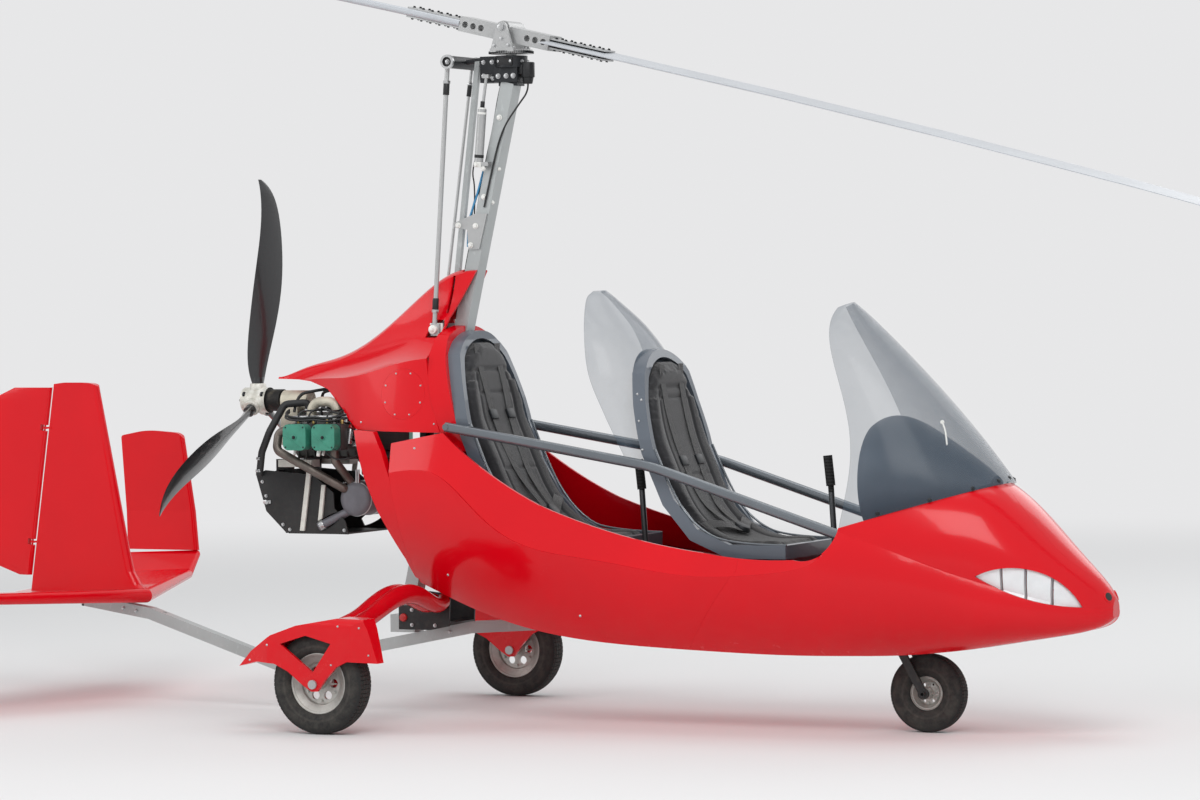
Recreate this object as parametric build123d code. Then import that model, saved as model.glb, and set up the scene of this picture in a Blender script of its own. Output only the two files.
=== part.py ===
from build123d import *
import math
import os

# A parked two-seat tandem gyrocopter with an open cockpit and a pusher propeller.
# Millimetres. X runs forward to the nose, Y to the left, Z up from the ground.
# The dimensions count from the teeter bolt; the saved pieces are moved forward by CENTRE_X,
# which puts the origin on the ground below the middle of the rotor's span.

# Clearances shared by pieces that meet
SEAM = 0.5
RUN_FIT = 0.05
SEAT_GAP = 0.3
MOVE_GAP = 8.0

# Hull
HULL_WALL = 12.0
HULL_REAR_TOP_X = -375.0
HULL_REAR_TOP_Z = 1057.0
HULL_REAR_LOW_X = -320.0
HULL_REAR_LOW_Z = 490.0
SCREEN_REAR_X = 1471.0
SCREEN_REAR_Z = 762.0
SCREEN_FRONT_X = 2013.0
SCREEN_FRONT_Z = 918.0
SCREEN_HALF_WIDTH = 343.0
SCREEN_THICK = 5.0
RIM_REAR_X = -147.0
RIM_REAR_Z = 1098.0

# Running gear
MAIN_AXLE_X = -406.0
MAIN_TRACK = 1608.0
MAIN_TYRE_R = 188.5
MAIN_TYRE_W = 95.0
MAIN_RIM_R = 112.0
MAIN_AXLE_R = 10.0
NOSE_AXLE_X = 1681.0
NOSE_TYRE_R = 144.0
NOSE_TYRE_W = 80.0
NOSE_RIM_R = 62.0
NOSE_AXLE_R = 10.0
TOW_BORE_R = 6.0
FORK_RAKE = 29.0
STEM_R = 14.0
HEAD_LOW = 194.0
HEAD_TOP = 330.0
CHEEK_THICK = 14.0
CHEEK_GAP = 10.0
ARCH_GAP = 12.0
FAIRING_EDGE_R = 34.0

# Frame
KEEL_SIZE = 45.0
MAST_X_SIZE = 54.0
MAST_Y_SIZE = 68.0
MAST_TOP_X = -1.0
MAST_TOP_Z = 2422.0
MAST_LEAN = 12.9
BAR_R = 19.0
BAR_REAR = (-140.0, -306.0, 1120.0)
BAR_BEND = (705.0, -310.0, 979.0)
BAR_FRONT = (1458.0, -312.0, 734.0)
BAR_BEND_R = 600.0
STRUT_SIZE = 20.0
TIE_X = -1570.0
TIE_R = 8.0
FLOOR_Z = 402.0
FLOOR_THICK = 8.0
BULKHEAD_PLATE = 14.0
BULKHEAD_FOOT_Z = 1026.0
DASH_THICK = 12.0
COWL_WALL = 10.0
COWL_GAP = 6.0
PANEL_X = -341.0
PANEL_Z = 1243.0
PANEL_R = 96.0

# Seats
SEAT_HALF = 268.0
SEAT_FLANK = 232.0
SEAT_SHOULDER = 200.0
SEAT_DEPTH = 50.0
SEAT_WALL = 12.0
SEAT_FLANGE = 30.0
CUSHION = 36.0

# Rotor
ROTOR_R = 4250.0
BLADE_CHORD = 200.0
BLADE_THICK = 28.0
TEETER_Z = 2630.0
TEETER_TILT = 13.2
BLADE_DROOP = 0.00875e-3
RING_R = 82.0
RING_Z = 2532.0
TOWER_SPACING = 150.0
TOWER_THICK = 14.0
TEETER_BOLT_R = 8.0
SPINDLE_R = 20.0
HUB_LENGTH = 390.0
HUB_DEPTH = 58.0
UNDERSLING = 22.0
HUB_WIDTH = 102.0
STRAP_END = 430.0
STRAP_THICK = 6.0

# Propeller
PROP_X = -1130.0
PROP_Z = 1212.0
PROP_R = 866.0
PROP_BLADES = 3
PROP_HUB_R = 50.0
PROP_HUB_LENGTH = 110.0
PROP_FLANGE_R = 43.0
PROP_FLANGE_X = (-1078.0, -1014.5)
PROP_SHAFT_R = 18.0
PROP_ROOT_R = 22.0

# Tail
TAIL_HALF_SPAN = 800.0
FIN_Y = 905.0
RUDDER_GAP = 8.0
RUDDER_THICK = 26.0
HINGE_PIN_R = 4.0
EDGE_HALF = 3.0

# Engine
CRANK_Z = 1078.0
ENGINE_FRONT_X = -545.0
ENGINE_REAR_X = -925.0
ENGINE_HALF = 150.0
HEAD_OUT = 268.0
COVER_OUT = 318.0
CYLINDER_X = (-842.0, -716.0)
CYLINDER_WIDTH = 104.0
COVER_CORNER_R = 24.0
INTAKE_X = (-792.0, -677.0)
MUFFLER_R = 65.0
MUFFLER_X = -607.0
MUFFLER_Z = 836.0

OUT = "parts"
os.makedirs(OUT, exist_ok=True)


# Both drooping tips lean to the rear of the teeter bolt by this much
TIP_DROP = BLADE_DROOP * (ROTOR_R - STRAP_END) ** 2 + UNDERSLING
CENTRE_X = TIP_DROP * math.sin(math.radians(TEETER_TILT))


def save(name, shape):
    """Write one node to its own STEP file, counted from the middle of the rotor's span."""
    placed = Pos(CENTRE_X, 0, 0) * shape
    placed.label = name
    export_step(placed, os.path.join(OUT, name + ".step"))


def both_sides(shape):
    """The shape and its mirror image across the centre plane."""
    return Compound(children=shape.solids() + shape.mirror(Plane.XZ).solids())


def group(*shapes):
    """Several solids that share a node."""
    return Compound(children=[s for shape in shapes for s in shape.solids()])


def side_face(points, y):
    """A polygon of (x, z) points in the plane at y."""
    return make_face(Polyline(*[(x, y, z) for x, z in points], close=True))


def side_prism(points, y0, y1):
    """A side-view outline of (x, z) points, pushed from y0 to y1."""
    return extrude(side_face(points, y0), amount=y1 - y0, dir=(0, 1, 0))


def plan_prism(points, z0, z1):
    """A plan-view outline of (x, y) points, pushed from z0 to z1."""
    face = make_face(Polyline(*[(x, y, z0) for x, y in points], close=True))
    return extrude(face, amount=z1 - z0, dir=(0, 0, 1))


def rounded_side_prism(points, radii, y0, y1):
    """A side-view outline of (x, z) points with one corner radius each, pushed from y0 to y1."""
    path = FilletPolyline(*[(x, z) for x, z in points], radius=radii, close=True)
    face = Plane(origin=(0, y0, 0), x_dir=(1, 0, 0), z_dir=(0, -1, 0)) * make_face(path)
    return extrude(face, amount=y1 - y0, dir=(0, 1, 0))


def block(x0, x1, y0, y1, z0, z1):
    """An upright box between two corners."""
    size = (abs(x1 - x0), abs(y1 - y0), abs(z1 - z0))
    return Pos((x0 + x1) / 2, (y0 + y1) / 2, (z0 + z1) / 2) * Box(*size)


def rod(start, end, radius, bore=0.0):
    """A round bar or tube from one point to another."""
    a = Vector(*start)
    b = Vector(*end)
    place = Plane(origin=a, z_dir=b - a)
    bar = Solid.make_cylinder(radius, (b - a).length, place)
    if bore > 0:
        bar = bar - Solid.make_cylinder(bore, (b - a).length, place)
    return bar


def box_bar(start, end, width, depth):
    """A square bar between two (x, z) points, width across Y and depth across its run."""
    a = Vector(start[0], 0, start[1])
    b = Vector(end[0], 0, end[1])
    place = Plane(origin=(a + b) / 2, x_dir=(0, 1, 0), z_dir=b - a)
    return place * Box(width, depth, (b - a).length)


def turned(profile, centre, axis):
    """A solid of revolution: (along, radius) points about an axis through the centre."""
    place = Plane(origin=centre, x_dir=Vector(*axis).cross(Vector(0.31, 0.47, 0.83)), z_dir=axis)
    face = make_face(Polyline(*[(r, 0, h) for h, r in profile], close=True))
    return place * revolve(face, Axis.Z)


def pipe(points, radius, bends):
    """A round pipe through the points, with one bend radius for each corner."""
    path = FilletPolyline(*points, radius=bends)
    start = Plane(origin=path @ 0, z_dir=path % 0)
    return sweep(start * Circle(radius), path=path)


# Hull sections from the rear to the nose tip. Below the chine the flank is one arc from the
# belly edge over the widest point; above it one arc runs over the top to the other side.
HULL_COLUMNS = ("x", "keel_z", "belly_y", "wide_y", "wide_z", "chine_y", "chine_z", "top_z")
HULL_SECTIONS = [
    (-560, 600, 150, 305, 860, 285, 1180, 1290),
    (-250, 493, 190, 352, 800, 340, 1130, 1260),
    (40, 392, 225, 385, 690, 375, 1060, 1220),
    (350, 330, 240, 398, 610, 390, 1000, 1180),
    (850, 297, 240, 402, 560, 392, 930, 1120),
    (1250, 287, 230, 392, 540, 375, 840, 1080),
    (1480, 290, 215, 372, 520, 350, 745, 1062),
    (1650, 295, 195, 355, 500, 345, 690, 1022),
    (1890, 318, 155, 305, 470, 300, 600, 967),
    (2100, 350, 110, 240, 452, 233, 532, 832),
    (2260, 378, 68, 163, 440, 160, 486, 668),
    (2365, 408, 32, 88, 438, 85, 470, 560),
    (2402, 436, 12, 36, 448, 34, 464, 502),
]


def hull_section(row, inset):
    """One closed cross section of the hull, moved inwards by the inset."""
    s = dict(zip(HULL_COLUMNS, row))
    x = s["x"]
    low = s["keel_z"] + inset
    belly = max(s["belly_y"] - 0.6 * inset, 2.0)
    wide = s["wide_y"] - inset
    chine = s["chine_y"] - inset
    top = s["top_z"] - inset
    bottom = Line((x, -belly, low), (x, belly, low))
    left = ThreePointArc((x, belly, low), (x, wide, s["wide_z"]), (x, chine, s["chine_z"]))
    roof = ThreePointArc((x, chine, s["chine_z"]), (x, 0, top), (x, -chine, s["chine_z"]))
    right = ThreePointArc((x, -chine, s["chine_z"]), (x, -wide, s["wide_z"]), (x, -belly, low))
    return Wire([bottom.edge(), left.edge(), roof.edge(), right.edge()])


def hull_body(inset):
    """The closed hull shape, before its cockpit is cut."""
    rows = [r for r in HULL_SECTIONS if inset == 0 or r[0] < 2380]
    return Solid.make_loft([hull_section(r, inset) for r in rows])


def rear_x(z):
    """The raked rear edge of the hull at a height."""
    share = (z - HULL_REAR_LOW_Z) / (HULL_REAR_TOP_Z - HULL_REAR_LOW_Z)
    return HULL_REAR_LOW_X + share * (HULL_REAR_TOP_X - HULL_REAR_LOW_X)


def hull_side_outline(drop):
    """The side outline of the hull, with its cockpit rim lowered by the drop."""
    a = (RIM_REAR_X, RIM_REAR_Z - drop)
    b = (269.0, 832.0 - drop)
    c = (950.0, 664.0 - drop)
    d = (1300.0, 645.0 - drop)
    e = (SCREEN_REAR_X, SCREEN_REAR_Z - drop)
    f = (SCREEN_FRONT_X, SCREEN_FRONT_Z - drop)
    top = HULL_REAR_TOP_Z - drop

    def at(p):
        return (p[0], -1000.0, p[1])

    edges = [
        Line(at((rear_x(0.0), 0.0)), at((rear_x(top), top))),
        Line(at((rear_x(top), top)), at(a)),
        ThreePointArc(at(a), at((41.0, 957.0 - drop)), at(b)),
        ThreePointArc(at(b), at((560.0, 738.0 - drop)), at(c)),
        ThreePointArc(at(c), at((1140.0, 644.0 - drop)), at(d)),
        ThreePointArc(at(d), at((1415.0, 668.0 - drop)), at(e)),
        Line(at(e), at(f)),
        Line(at(f), at((2600.0, f[1]))),
        Line(at((2600.0, f[1])), at((2600.0, 0.0))),
        Line(at((2600.0, 0.0)), at((rear_x(0.0), 0.0))),
    ]
    face = make_face(edges)
    return extrude(face, amount=2000.0, dir=(0, 1, 0))


# The sill band leans inwards from the crease up to the rim.
SILL_COLUMNS = ("x", "crease_y", "crease_z", "rim_y", "rim_z")
SILL_SECTIONS = [
    (-620, 345, 975, 285, 1130),
    (-310, 362, 945, 296, 1118),
    (-40, 388, 868, 328, 1040),
    (150, 398, 718, 345, 895),
    (360, 402, 655, 355, 798),
    (700, 405, 607, 362, 704),
    (1070, 402, 584, 364, 654),
    (1280, 394, 604, 366, 646),
    (1420, 378, 662, 366, 668),
]


def sill_cutter(inset):
    """What is shaved off the left flank above the crease, moved inwards by the inset."""
    wires = []
    for row in SILL_SECTIONS:
        s = dict(zip(SILL_COLUMNS, row))
        x = s["x"]
        lean_y = s["rim_y"] - s["crease_y"]
        lean_z = s["rim_z"] - s["crease_z"]
        top = (x, s["rim_y"] + lean_y * 0.6 - inset, s["rim_z"] + lean_z * 0.6)
        out = (x, s["crease_y"] + 120.0, s["rim_z"] + lean_z * 0.6)
        foot = (x, s["crease_y"] + 120.0, s["crease_z"] - 6.0)
        crease = (x, s["crease_y"] - inset, s["crease_z"])
        wires.append(Wire(Polyline(crease, top, out, foot, close=True).edges()))
    return Solid.make_loft(wires)


def hull_inside(gap):
    """The space inside the skin, kept clear of it by the gap."""
    cutter = sill_cutter(HULL_WALL + gap)
    return hull_body(HULL_WALL + gap) - cutter - cutter.mirror(Plane.XZ)


def hull_shell():
    """The whole moulded skin, open at the cockpit and at the rear."""
    outer = hull_body(0.0) & hull_side_outline(0.0)
    cutter = sill_cutter(0.0)
    outer = outer - cutter - cutter.mirror(Plane.XZ)
    return outer - hull_inside(0.0)


# Seam between tub and nose shell, as (x, z) points of the side view.
SEAM_LOW = (745.0, 200.0)
SEAM_HIGH = (1085.0, 600.0)
SEAM_TOP = (1085.0, 1400.0)


def nose_half_space(shift):
    """All that lies ahead of the seam, moved forward by the shift."""
    points = [
        (SEAM_LOW[0] + shift, SEAM_LOW[1]),
        (SEAM_HIGH[0] + shift, SEAM_HIGH[1]),
        (SEAM_TOP[0] + shift, SEAM_TOP[1]),
        (2700.0, SEAM_TOP[1]),
        (2700.0, SEAM_LOW[1]),
    ]
    return side_prism(points, -1000.0, 1000.0)


# Frame tubes
KEEL_POINTS = [
    (-1935.0, 410.0),
    (-1630.0, 363.0),
    (-1040.0, 172.0),
    (-190.0, 341.0),
    (330.0, 375.0),
    (1400.0, 362.0),
]


def keel_tube(size):
    """The keel beam as a bent square bar of the given size."""
    a = [box_bar(p, q, size, size) for p, q in zip(KEEL_POINTS, KEEL_POINTS[1:])]
    joints = [Pos(p[0], 0, p[1]) * Rot(90, 0, 0) * Cylinder(size / 2, size) for p in KEEL_POINTS[1:-1]]
    return a[0].fuse(*a[1:], *joints).clean()


def fork_axis_point(distance):
    """A point on the steering axis, this far above the nose axle."""
    rake = math.radians(FORK_RAKE)
    x = NOSE_AXLE_X - distance * math.sin(rake)
    return (x, 0.0, NOSE_TYRE_R + distance * math.cos(rake))


def eye_prism(grow):
    """The leaf-shaped lamp opening in the side view, grown by a margin."""
    tip_rear = (1968.0 - grow, 592.0)
    crown = (2070.0, 622.0 + grow)
    tip_front = (2318.0 + 3.0 * grow, 478.0 - 0.8 * grow)
    foot = (2110.0, 520.0 - grow)
    y = -400.0
    rear, high, front, low = ((x, y, z) for x, z in (tip_rear, crown, tip_front, foot))
    upper = ThreePointArc(rear, high, front)
    lower = ThreePointArc(front, low, rear)
    return extrude(make_face([upper, lower]), amount=300.0, dir=(0, 1, 0))


def hatch_prism(grow):
    """The oval hatch on top of the nose, cut square to the sloping hood."""
    place = Plane(origin=(2190.0, 0, 760.0), x_dir=(0.70, 0, -0.71), z_dir=(0.71, 0, 0.70))
    return place * Pos(0, 0, -120.0) * extrude(Ellipse(250.0 + grow, 105.0 + grow), amount=400.0)


def make_hull():
    """Tub, nose shell, hatch, lamp covers and lamps."""
    shell = hull_shell()
    keel_slot = keel_tube(KEEL_SIZE + 2 * SEAM)
    shell = shell - keel_slot
    wheel_slot = block(1520.0, 1780.0, -95.0, 95.0, 200.0, 420.0)
    tub = shell - nose_half_space(0.0)
    nose = (shell & nose_half_space(SEAM)) - wheel_slot
    hatch = (nose & hatch_prism(-SEAM)).solids().sort_by(Axis.Z)[-1]
    nose = nose - hatch_prism(0.0)
    right_cover = nose & eye_prism(-SEAM)
    covers = both_sides(right_cover)
    eyes = eye_prism(0.0)
    nose = nose - eyes - eyes.mirror(Plane.XZ)
    inner = hull_body(HULL_WALL + SEAT_GAP)
    deep = hull_body(HULL_WALL + 26.0)
    lamp = (inner - deep) & eye_prism(10.0)
    lamp = lamp - block(2050.0, 2060.0, -400.0, 0.0, 400.0, 700.0)
    lamp = lamp - block(2130.0, 2140.0, -400.0, 0.0, 400.0, 700.0)
    lamp = lamp - block(2215.0, 2225.0, -400.0, 0.0, 400.0, 700.0)
    save("hull_tub", tub.solids().sort_by(SortBy.VOLUME)[-1])
    save("nose_shell", nose.solids().sort_by(SortBy.VOLUME)[-1])
    save("nose_hatch", hatch)
    save("lamp_covers", covers)
    save("nose_lamps", both_sides(lamp))


def mast_point(z):
    """The mast's centre line at a height."""
    return (MAST_TOP_X - (MAST_TOP_Z - z) * math.tan(math.radians(MAST_LEAN)), z)


def mast_sleeve(low_z, high_z, gap):
    """The space of the mast between two heights, grown by a gap."""
    width = MAST_Y_SIZE + 2 * gap
    depth = MAST_X_SIZE + 2 * gap
    return box_bar(mast_point(low_z), mast_point(high_z), width, depth)


def mast_rear_x(z):
    """The mast's rear face in the side view, at a height."""
    return mast_point(z)[0] - MAST_X_SIZE / 2 / math.cos(math.radians(MAST_LEAN))


def strut_point(z):
    """The rear mast strut's centre line at a height."""
    return (-240.0 + (z - 1700.0) * 0.122, z)


def keel_top_z(x):
    """Height of the keel's top face at a place on its long rear run."""
    a = KEEL_POINTS[2]
    b = KEEL_POINTS[3]
    slope = (b[1] - a[1]) / (b[0] - a[0])
    return a[1] + slope * (x - a[0]) + KEEL_SIZE / 2 * math.sqrt(1 + slope * slope)


def largest(shape):
    """The biggest solid of a shape."""
    return shape.solids().sort_by(SortBy.VOLUME)[-1]


def shifted(points, distance):
    """A side-view line of (x, z) points, moved to the rear and down by a distance."""
    moved = []
    last = len(points) - 1
    for i, (x, z) in enumerate(points):
        a = points[max(i - 1, 0)]
        b = points[min(i + 1, last)]
        length = math.hypot(b[0] - a[0], b[1] - a[1])
        moved.append((x + distance * (b[1] - a[1]) / length, z - distance * (b[0] - a[0]) / length))
    return moved


def shortened(points, gap):
    """A line with its two ends drawn in by a gap."""
    ends = []
    for a, b in ((points[0], points[1]), (points[-1], points[-2])):
        length = math.hypot(b[0] - a[0], b[1] - a[1])
        ends.append((a[0] + (b[0] - a[0]) * gap / length, a[1] + (b[1] - a[1]) * gap / length))
    return [ends[0], *points[1:-1], ends[1]]


# The front edge of each seat's side, from the top down and forward.
SEAT_LINES = {
    "front": [
        (602, 1440), (636, 1340), (660, 1211), (703, 1038),
        (782, 858), (878, 745), (1007, 690), (1230, 690),
    ],
    "rear": [
        (-143, 1520), (-143, 1446), (-131, 1393), (-108, 1309), (-84, 1219), (-64, 1130),
        (0, 975), (72, 845), (152, 760), (250, 706), (490, 700),
    ],
}
SEAT_CROWN = {"front": 1405.0, "rear": 1480.0}


def seat_outline(line, near, far):
    """A closed band between two distances behind a seat's front edge."""
    return shifted(line, near) + shifted(line, far)[::-1]


def seat_back_prism(crown, inset):
    """The rounded front view of a seat back, drawn in by the inset, pushed along the whole craft."""
    x = -500.0
    half = SEAT_HALF - inset
    flank = SEAT_FLANK - inset
    shoulder = SEAT_SHOULDER - inset
    side_z = crown - 330.0
    flank_z = crown - 170.0
    shoulder_z = crown - 87.0 - 0.5 * inset
    base = Polyline((x, half, side_z), (x, half, 300.0), (x, -half, 300.0), (x, -half, side_z))
    right = ThreePointArc((x, -half, side_z), (x, -flank, flank_z), (x, -shoulder, shoulder_z))
    top = ThreePointArc((x, -shoulder, shoulder_z), (x, 0, crown - inset), (x, shoulder, shoulder_z))
    left = ThreePointArc((x, shoulder, shoulder_z), (x, flank, flank_z), (x, half, side_z))
    face = make_face([*base.edges(), right.edge(), top.edge(), left.edge()])
    return extrude(face, amount=2200.0, dir=(1, 0, 0))


# Bulkhead sections behind the rear seat: it narrows forward from the cowl to the seat.
BULKHEAD_COLUMNS = ("x", "low_y", "flank_y", "shoulder_y", "crown_z")
BULKHEAD_SECTIONS = [
    (-300, 299, 240, 178, 1508),
    (-60, 258, 195, 150, 1492),
]


def bulkhead_section(row, grow=0.0):
    """One closed cross section of the raised bulkhead, widened by a margin."""
    s = dict(zip(BULKHEAD_COLUMNS, row))
    x = s["x"]
    low = s["low_y"] + grow
    flank = s["flank_y"] + grow
    shoulder = s["shoulder_y"] + grow
    top_z = s["crown_z"] - 38.0
    base = Polyline((x, low, 1190.0), (x, low, 1020.0), (x, -low, 1020.0), (x, -low, 1190.0))
    right = ThreePointArc((x, -low, 1190.0), (x, -flank, 1394.0), (x, -shoulder, top_z))
    top = ThreePointArc((x, -shoulder, top_z), (x, 0, s["crown_z"]), (x, shoulder, top_z))
    left = ThreePointArc((x, shoulder, top_z), (x, flank, 1394.0), (x, low, 1190.0))
    return Wire([*base.edges(), right.edge(), top.edge(), left.edge()])


def make_cockpit_structure():
    """Floor, seat bulkhead, dash and side bars."""
    inside = hull_inside(SEAT_GAP)
    floor = block(-90.0, 1460.0, -400.0, 400.0, FLOOR_Z, FLOOR_Z + FLOOR_THICK) & inside
    save("cockpit_floor", largest(floor))

    mast_room = mast_sleeve(200.0, 1700.0, SEAM)
    foot = [(-50.0, BULKHEAD_FOOT_Z), (COWL_FRONT[0][0], BULKHEAD_FOOT_Z)]
    outline = [*foot, *COWL_FRONT[:6], (-220.0, 1540.0), (-50.0, 1540.0)]
    upper = Solid.make_loft([bulkhead_section(row) for row in BULKHEAD_SECTIONS], ruled=True)
    upper = upper & side_prism(outline, -400.0, 400.0)
    seat_room = side_prism(seat_outline(SEAT_LINES["rear"], -150.0, SEAT_DEPTH + SEAT_GAP), -400.0, 400.0)
    mount_room = block(-430.0, -300.0, -75.0, 75.0, 985.0, 1200.0)
    top = HULL_REAR_TOP_Z - 16.0
    wall = [
        (rear_x(505.0) + 2.0, 505.0),
        (rear_x(505.0) + 2.0 + BULKHEAD_PLATE, 505.0),
        (rear_x(top) + 2.0 + BULKHEAD_PLATE, top - BULKHEAD_PLATE),
        (-98.0, top - BULKHEAD_PLATE),
        (-98.0, top),
        (rear_x(top) + 2.0, top),
    ]
    lower = side_prism(wall, -400.0, 400.0) & inside
    save("seat_bulkhead", largest((upper - seat_room + lower) - mast_room - mount_room))

    slab = block(1500.0, 1500.0 + DASH_THICK, -400.0, 400.0, 640.0, 1000.0)
    panel = slab & hull_side_outline(0.0) & inside
    pod_rows = [
        (1490.0, 150.0, 764.0, 1130.0),
        (1570.0, 165.0, 785.0, 1158.0),
        (1720.0, 175.0, 830.0, 1100.0),
        (1860.0, 130.0, 875.0, 1010.0),
        (1950.0, 70.0, 902.0, 940.0),
    ]
    wires = []
    for x, half, low, high in pod_rows:
        crown = ThreePointArc((x, half, low + 12.0), (x, 0, high), (x, -half, low + 12.0))
        base = Polyline((x, -half, low + 12.0), (x, -half, low), (x, half, low), (x, half, low + 12.0))
        wires.append(Wire([*base.edges(), crown.edge()]))
    pod = Solid.make_loft(wires)
    save("dash", largest(panel + pod))

    bar = pipe([BAR_REAR, BAR_BEND, BAR_FRONT], BAR_R, [BAR_BEND_R])
    foot_x = BAR_REAR[0] + 8.0
    rear_foot = rod((foot_x, -250.0, BAR_REAR[2]), (foot_x, BAR_REAR[1] - 22.0, BAR_REAR[2]), 12.0)
    grown = [bulkhead_section(row, SEAT_GAP) for row in BULKHEAD_SECTIONS]
    bulkhead_room = Solid.make_loft(grown, ruled=True)
    front_foot = rod((1436.0, BAR_FRONT[1], 739.0), (1436.0, -400.0, 700.0), 11.0) & inside
    front_foot = front_foot & hull_side_outline(2.0)
    save("side_bars", both_sides(largest((bar + rear_foot + front_foot) - bulkhead_room)))


# Cowl sections from the tail forward, all cut later along the lower edge. The flank is a hollow
# arc from the shoulder up to the narrow neck round the mast, deeper by the dish.
COWL_COLUMNS = ("x", "low_y", "shoulder_y", "shoulder_z", "dish", "neck_y", "neck_z", "top_z")
COWL_SECTIONS = [
    (-1034, 12, 11, 1270, 1, 6, 1296, 1303),
    (-920, 56, 52, 1288, 2, 26, 1324, 1337),
    (-800, 118, 110, 1298, 5, 42, 1352, 1369),
    (-680, 192, 176, 1302, 12, 52, 1390, 1411),
    (-560, 254, 230, 1312, 24, 56, 1458, 1483),
    (-440, 282, 254, 1340, 36, 55, 1550, 1576),
    (-320, 292, 262, 1368, 46, 52, 1642, 1668),
    (-200, 293, 258, 1380, 52, 50, 1698, 1716),
    (-90, 290, 250, 1380, 52, 49, 1706, 1722),
]
COWL_EDGE = [
    (-1060, 1296),
    (-918, 1294),
    (-845, 1288),
    (-736, 1259),
    (-645, 1190),
    (-597, 1142),
    (-555, 1108),
    (-426, 1101),
]
COWL_FRONT = [
    (-177, 1097),
    (-194, 1142),
    (-215, 1220),
    (-232, 1298),
    (-247, 1394),
    (-240, 1470),
    (-229, 1528),
    (-186, 1615),
    (-160, 1664),
    (-134, 1712),
    (-128, 1760),
]


def cowl_section(row, inset):
    """One closed cross section of the rear cowl."""
    s = dict(zip(COWL_COLUMNS, row))
    x = s["x"]
    low_z = 1040.0
    low_y = s["low_y"] - inset
    sh_y = s["shoulder_y"] - inset
    sh_z = s["shoulder_z"]
    neck_y = s["neck_y"] - 0.9 * inset
    neck_z = s["neck_z"] - 0.9 * inset
    top = s["top_z"] - 1.4 * inset
    chord = math.hypot(sh_y - neck_y, neck_z - sh_z)
    waist_y = (sh_y + neck_y) / 2 - s["dish"] * (neck_z - sh_z) / chord
    waist_z = (sh_z + neck_z) / 2 - s["dish"] * (sh_y - neck_y) / chord
    base = Polyline((x, -sh_y, sh_z), (x, -low_y, low_z), (x, low_y, low_z), (x, sh_y, sh_z))
    left = ThreePointArc((x, sh_y, sh_z), (x, waist_y, waist_z), (x, neck_y, neck_z))
    ridge = ThreePointArc((x, neck_y, neck_z), (x, 0, top), (x, -neck_y, neck_z))
    right = ThreePointArc((x, -neck_y, neck_z), (x, -waist_y, waist_z), (x, -sh_y, sh_z))
    return Wire([*base.edges(), left.edge(), ridge.edge(), right.edge()])


def cowl_side():
    """All that lies behind the front edge of the cowl and above its lower edge."""
    front = [(x - SEAT_GAP, z) for x, z in COWL_FRONT]
    outline = [*front, (-1200.0, 1760.0), (-1200.0, 1296.0), *COWL_EDGE]
    return side_prism(outline, -400.0, 400.0)


def make_cowl():
    """Rear cowl over the engine bay, its round panel and the rear side pillars."""
    outer = Solid.make_loft([cowl_section(r, 0.0) for r in COWL_SECTIONS])
    inner = Solid.make_loft([cowl_section(r, COWL_WALL) for r in COWL_SECTIONS if r[0] > -850])
    shell = (outer - inner) & cowl_side()
    mast_room = mast_sleeve(300.0, 2000.0, COWL_GAP)
    strut_width = STRUT_SIZE + 2 * COWL_GAP
    strut_room = box_bar(strut_point(300.0), strut_point(2000.0), strut_width, strut_width)
    shell = shell - mast_room - strut_room
    for top_end, low_end in (ROD_RIGHT, ROD_LEFT):
        shell = shell - rod(top_end, low_end, 14.0)
    recess = [(-303.0, 1522.0), (-248.0, 1522.0), (-240.0, 1500.0), (-250.0, 1455.0), (-312.0, 1455.0)]
    shell = shell - side_prism(recess, -200.0, 200.0)
    shell = shell - box_bar((-243.0, 1548.0), (-229.0, 1690.0), 300.0, 11.0)
    place = Pos(PANEL_X, -200.0, PANEL_Z) * Rot(90, 0, 0)
    panel = shell & (place * Cylinder(PANEL_R - SEAM, 300.0))
    shell = shell - place * Cylinder(PANEL_R, 300.0)
    save("rear_cowl", largest(shell))
    save("filler_panel", largest(panel))

    outline = [
        (-531.0, 1106.4),
        (-483.0, 930.0),
        (-437.0, 799.0),
        (-354.0, 614.0),
        (-334.0, 515.0),
        (rear_x(515.0) - SEAT_GAP, 515.0),
        (rear_x(925.0) - SEAT_GAP, 925.0),
        (-400.0, 1029.0),
        (-441.0, 1101.5),
    ]
    pillar = side_prism(outline, -352.0, -190.0) & (hull_body(0.0) - hull_body(40.0))
    save("rear_pillars", both_sides(largest(pillar)))


def crescent(rear, front, half):
    """A closed thin section of a curved screen: half an ellipse in plan."""
    run = Vector(front[0] - rear[0], 0, front[1] - rear[1])
    place = Plane(origin=(rear[0], 0, rear[1]), x_dir=run, z_dir=run.cross(Vector(0, 1, 0)))
    reach = run.length
    outer = EllipticalCenterArc((0, 0), reach, half, start_angle=-90, arc_size=180)
    deep = reach - SCREEN_THICK
    inner = EllipticalCenterArc((0, 0), deep, half - SCREEN_THICK, start_angle=-90, arc_size=180)
    low = Line((0, -half), (0, SCREEN_THICK - half))
    high = Line((0, half - SCREEN_THICK), (0, half))
    wire = Wire([outer.edge(), high.edge(), inner.edge(), low.edge()])
    return wire.moved(place.location)


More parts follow.
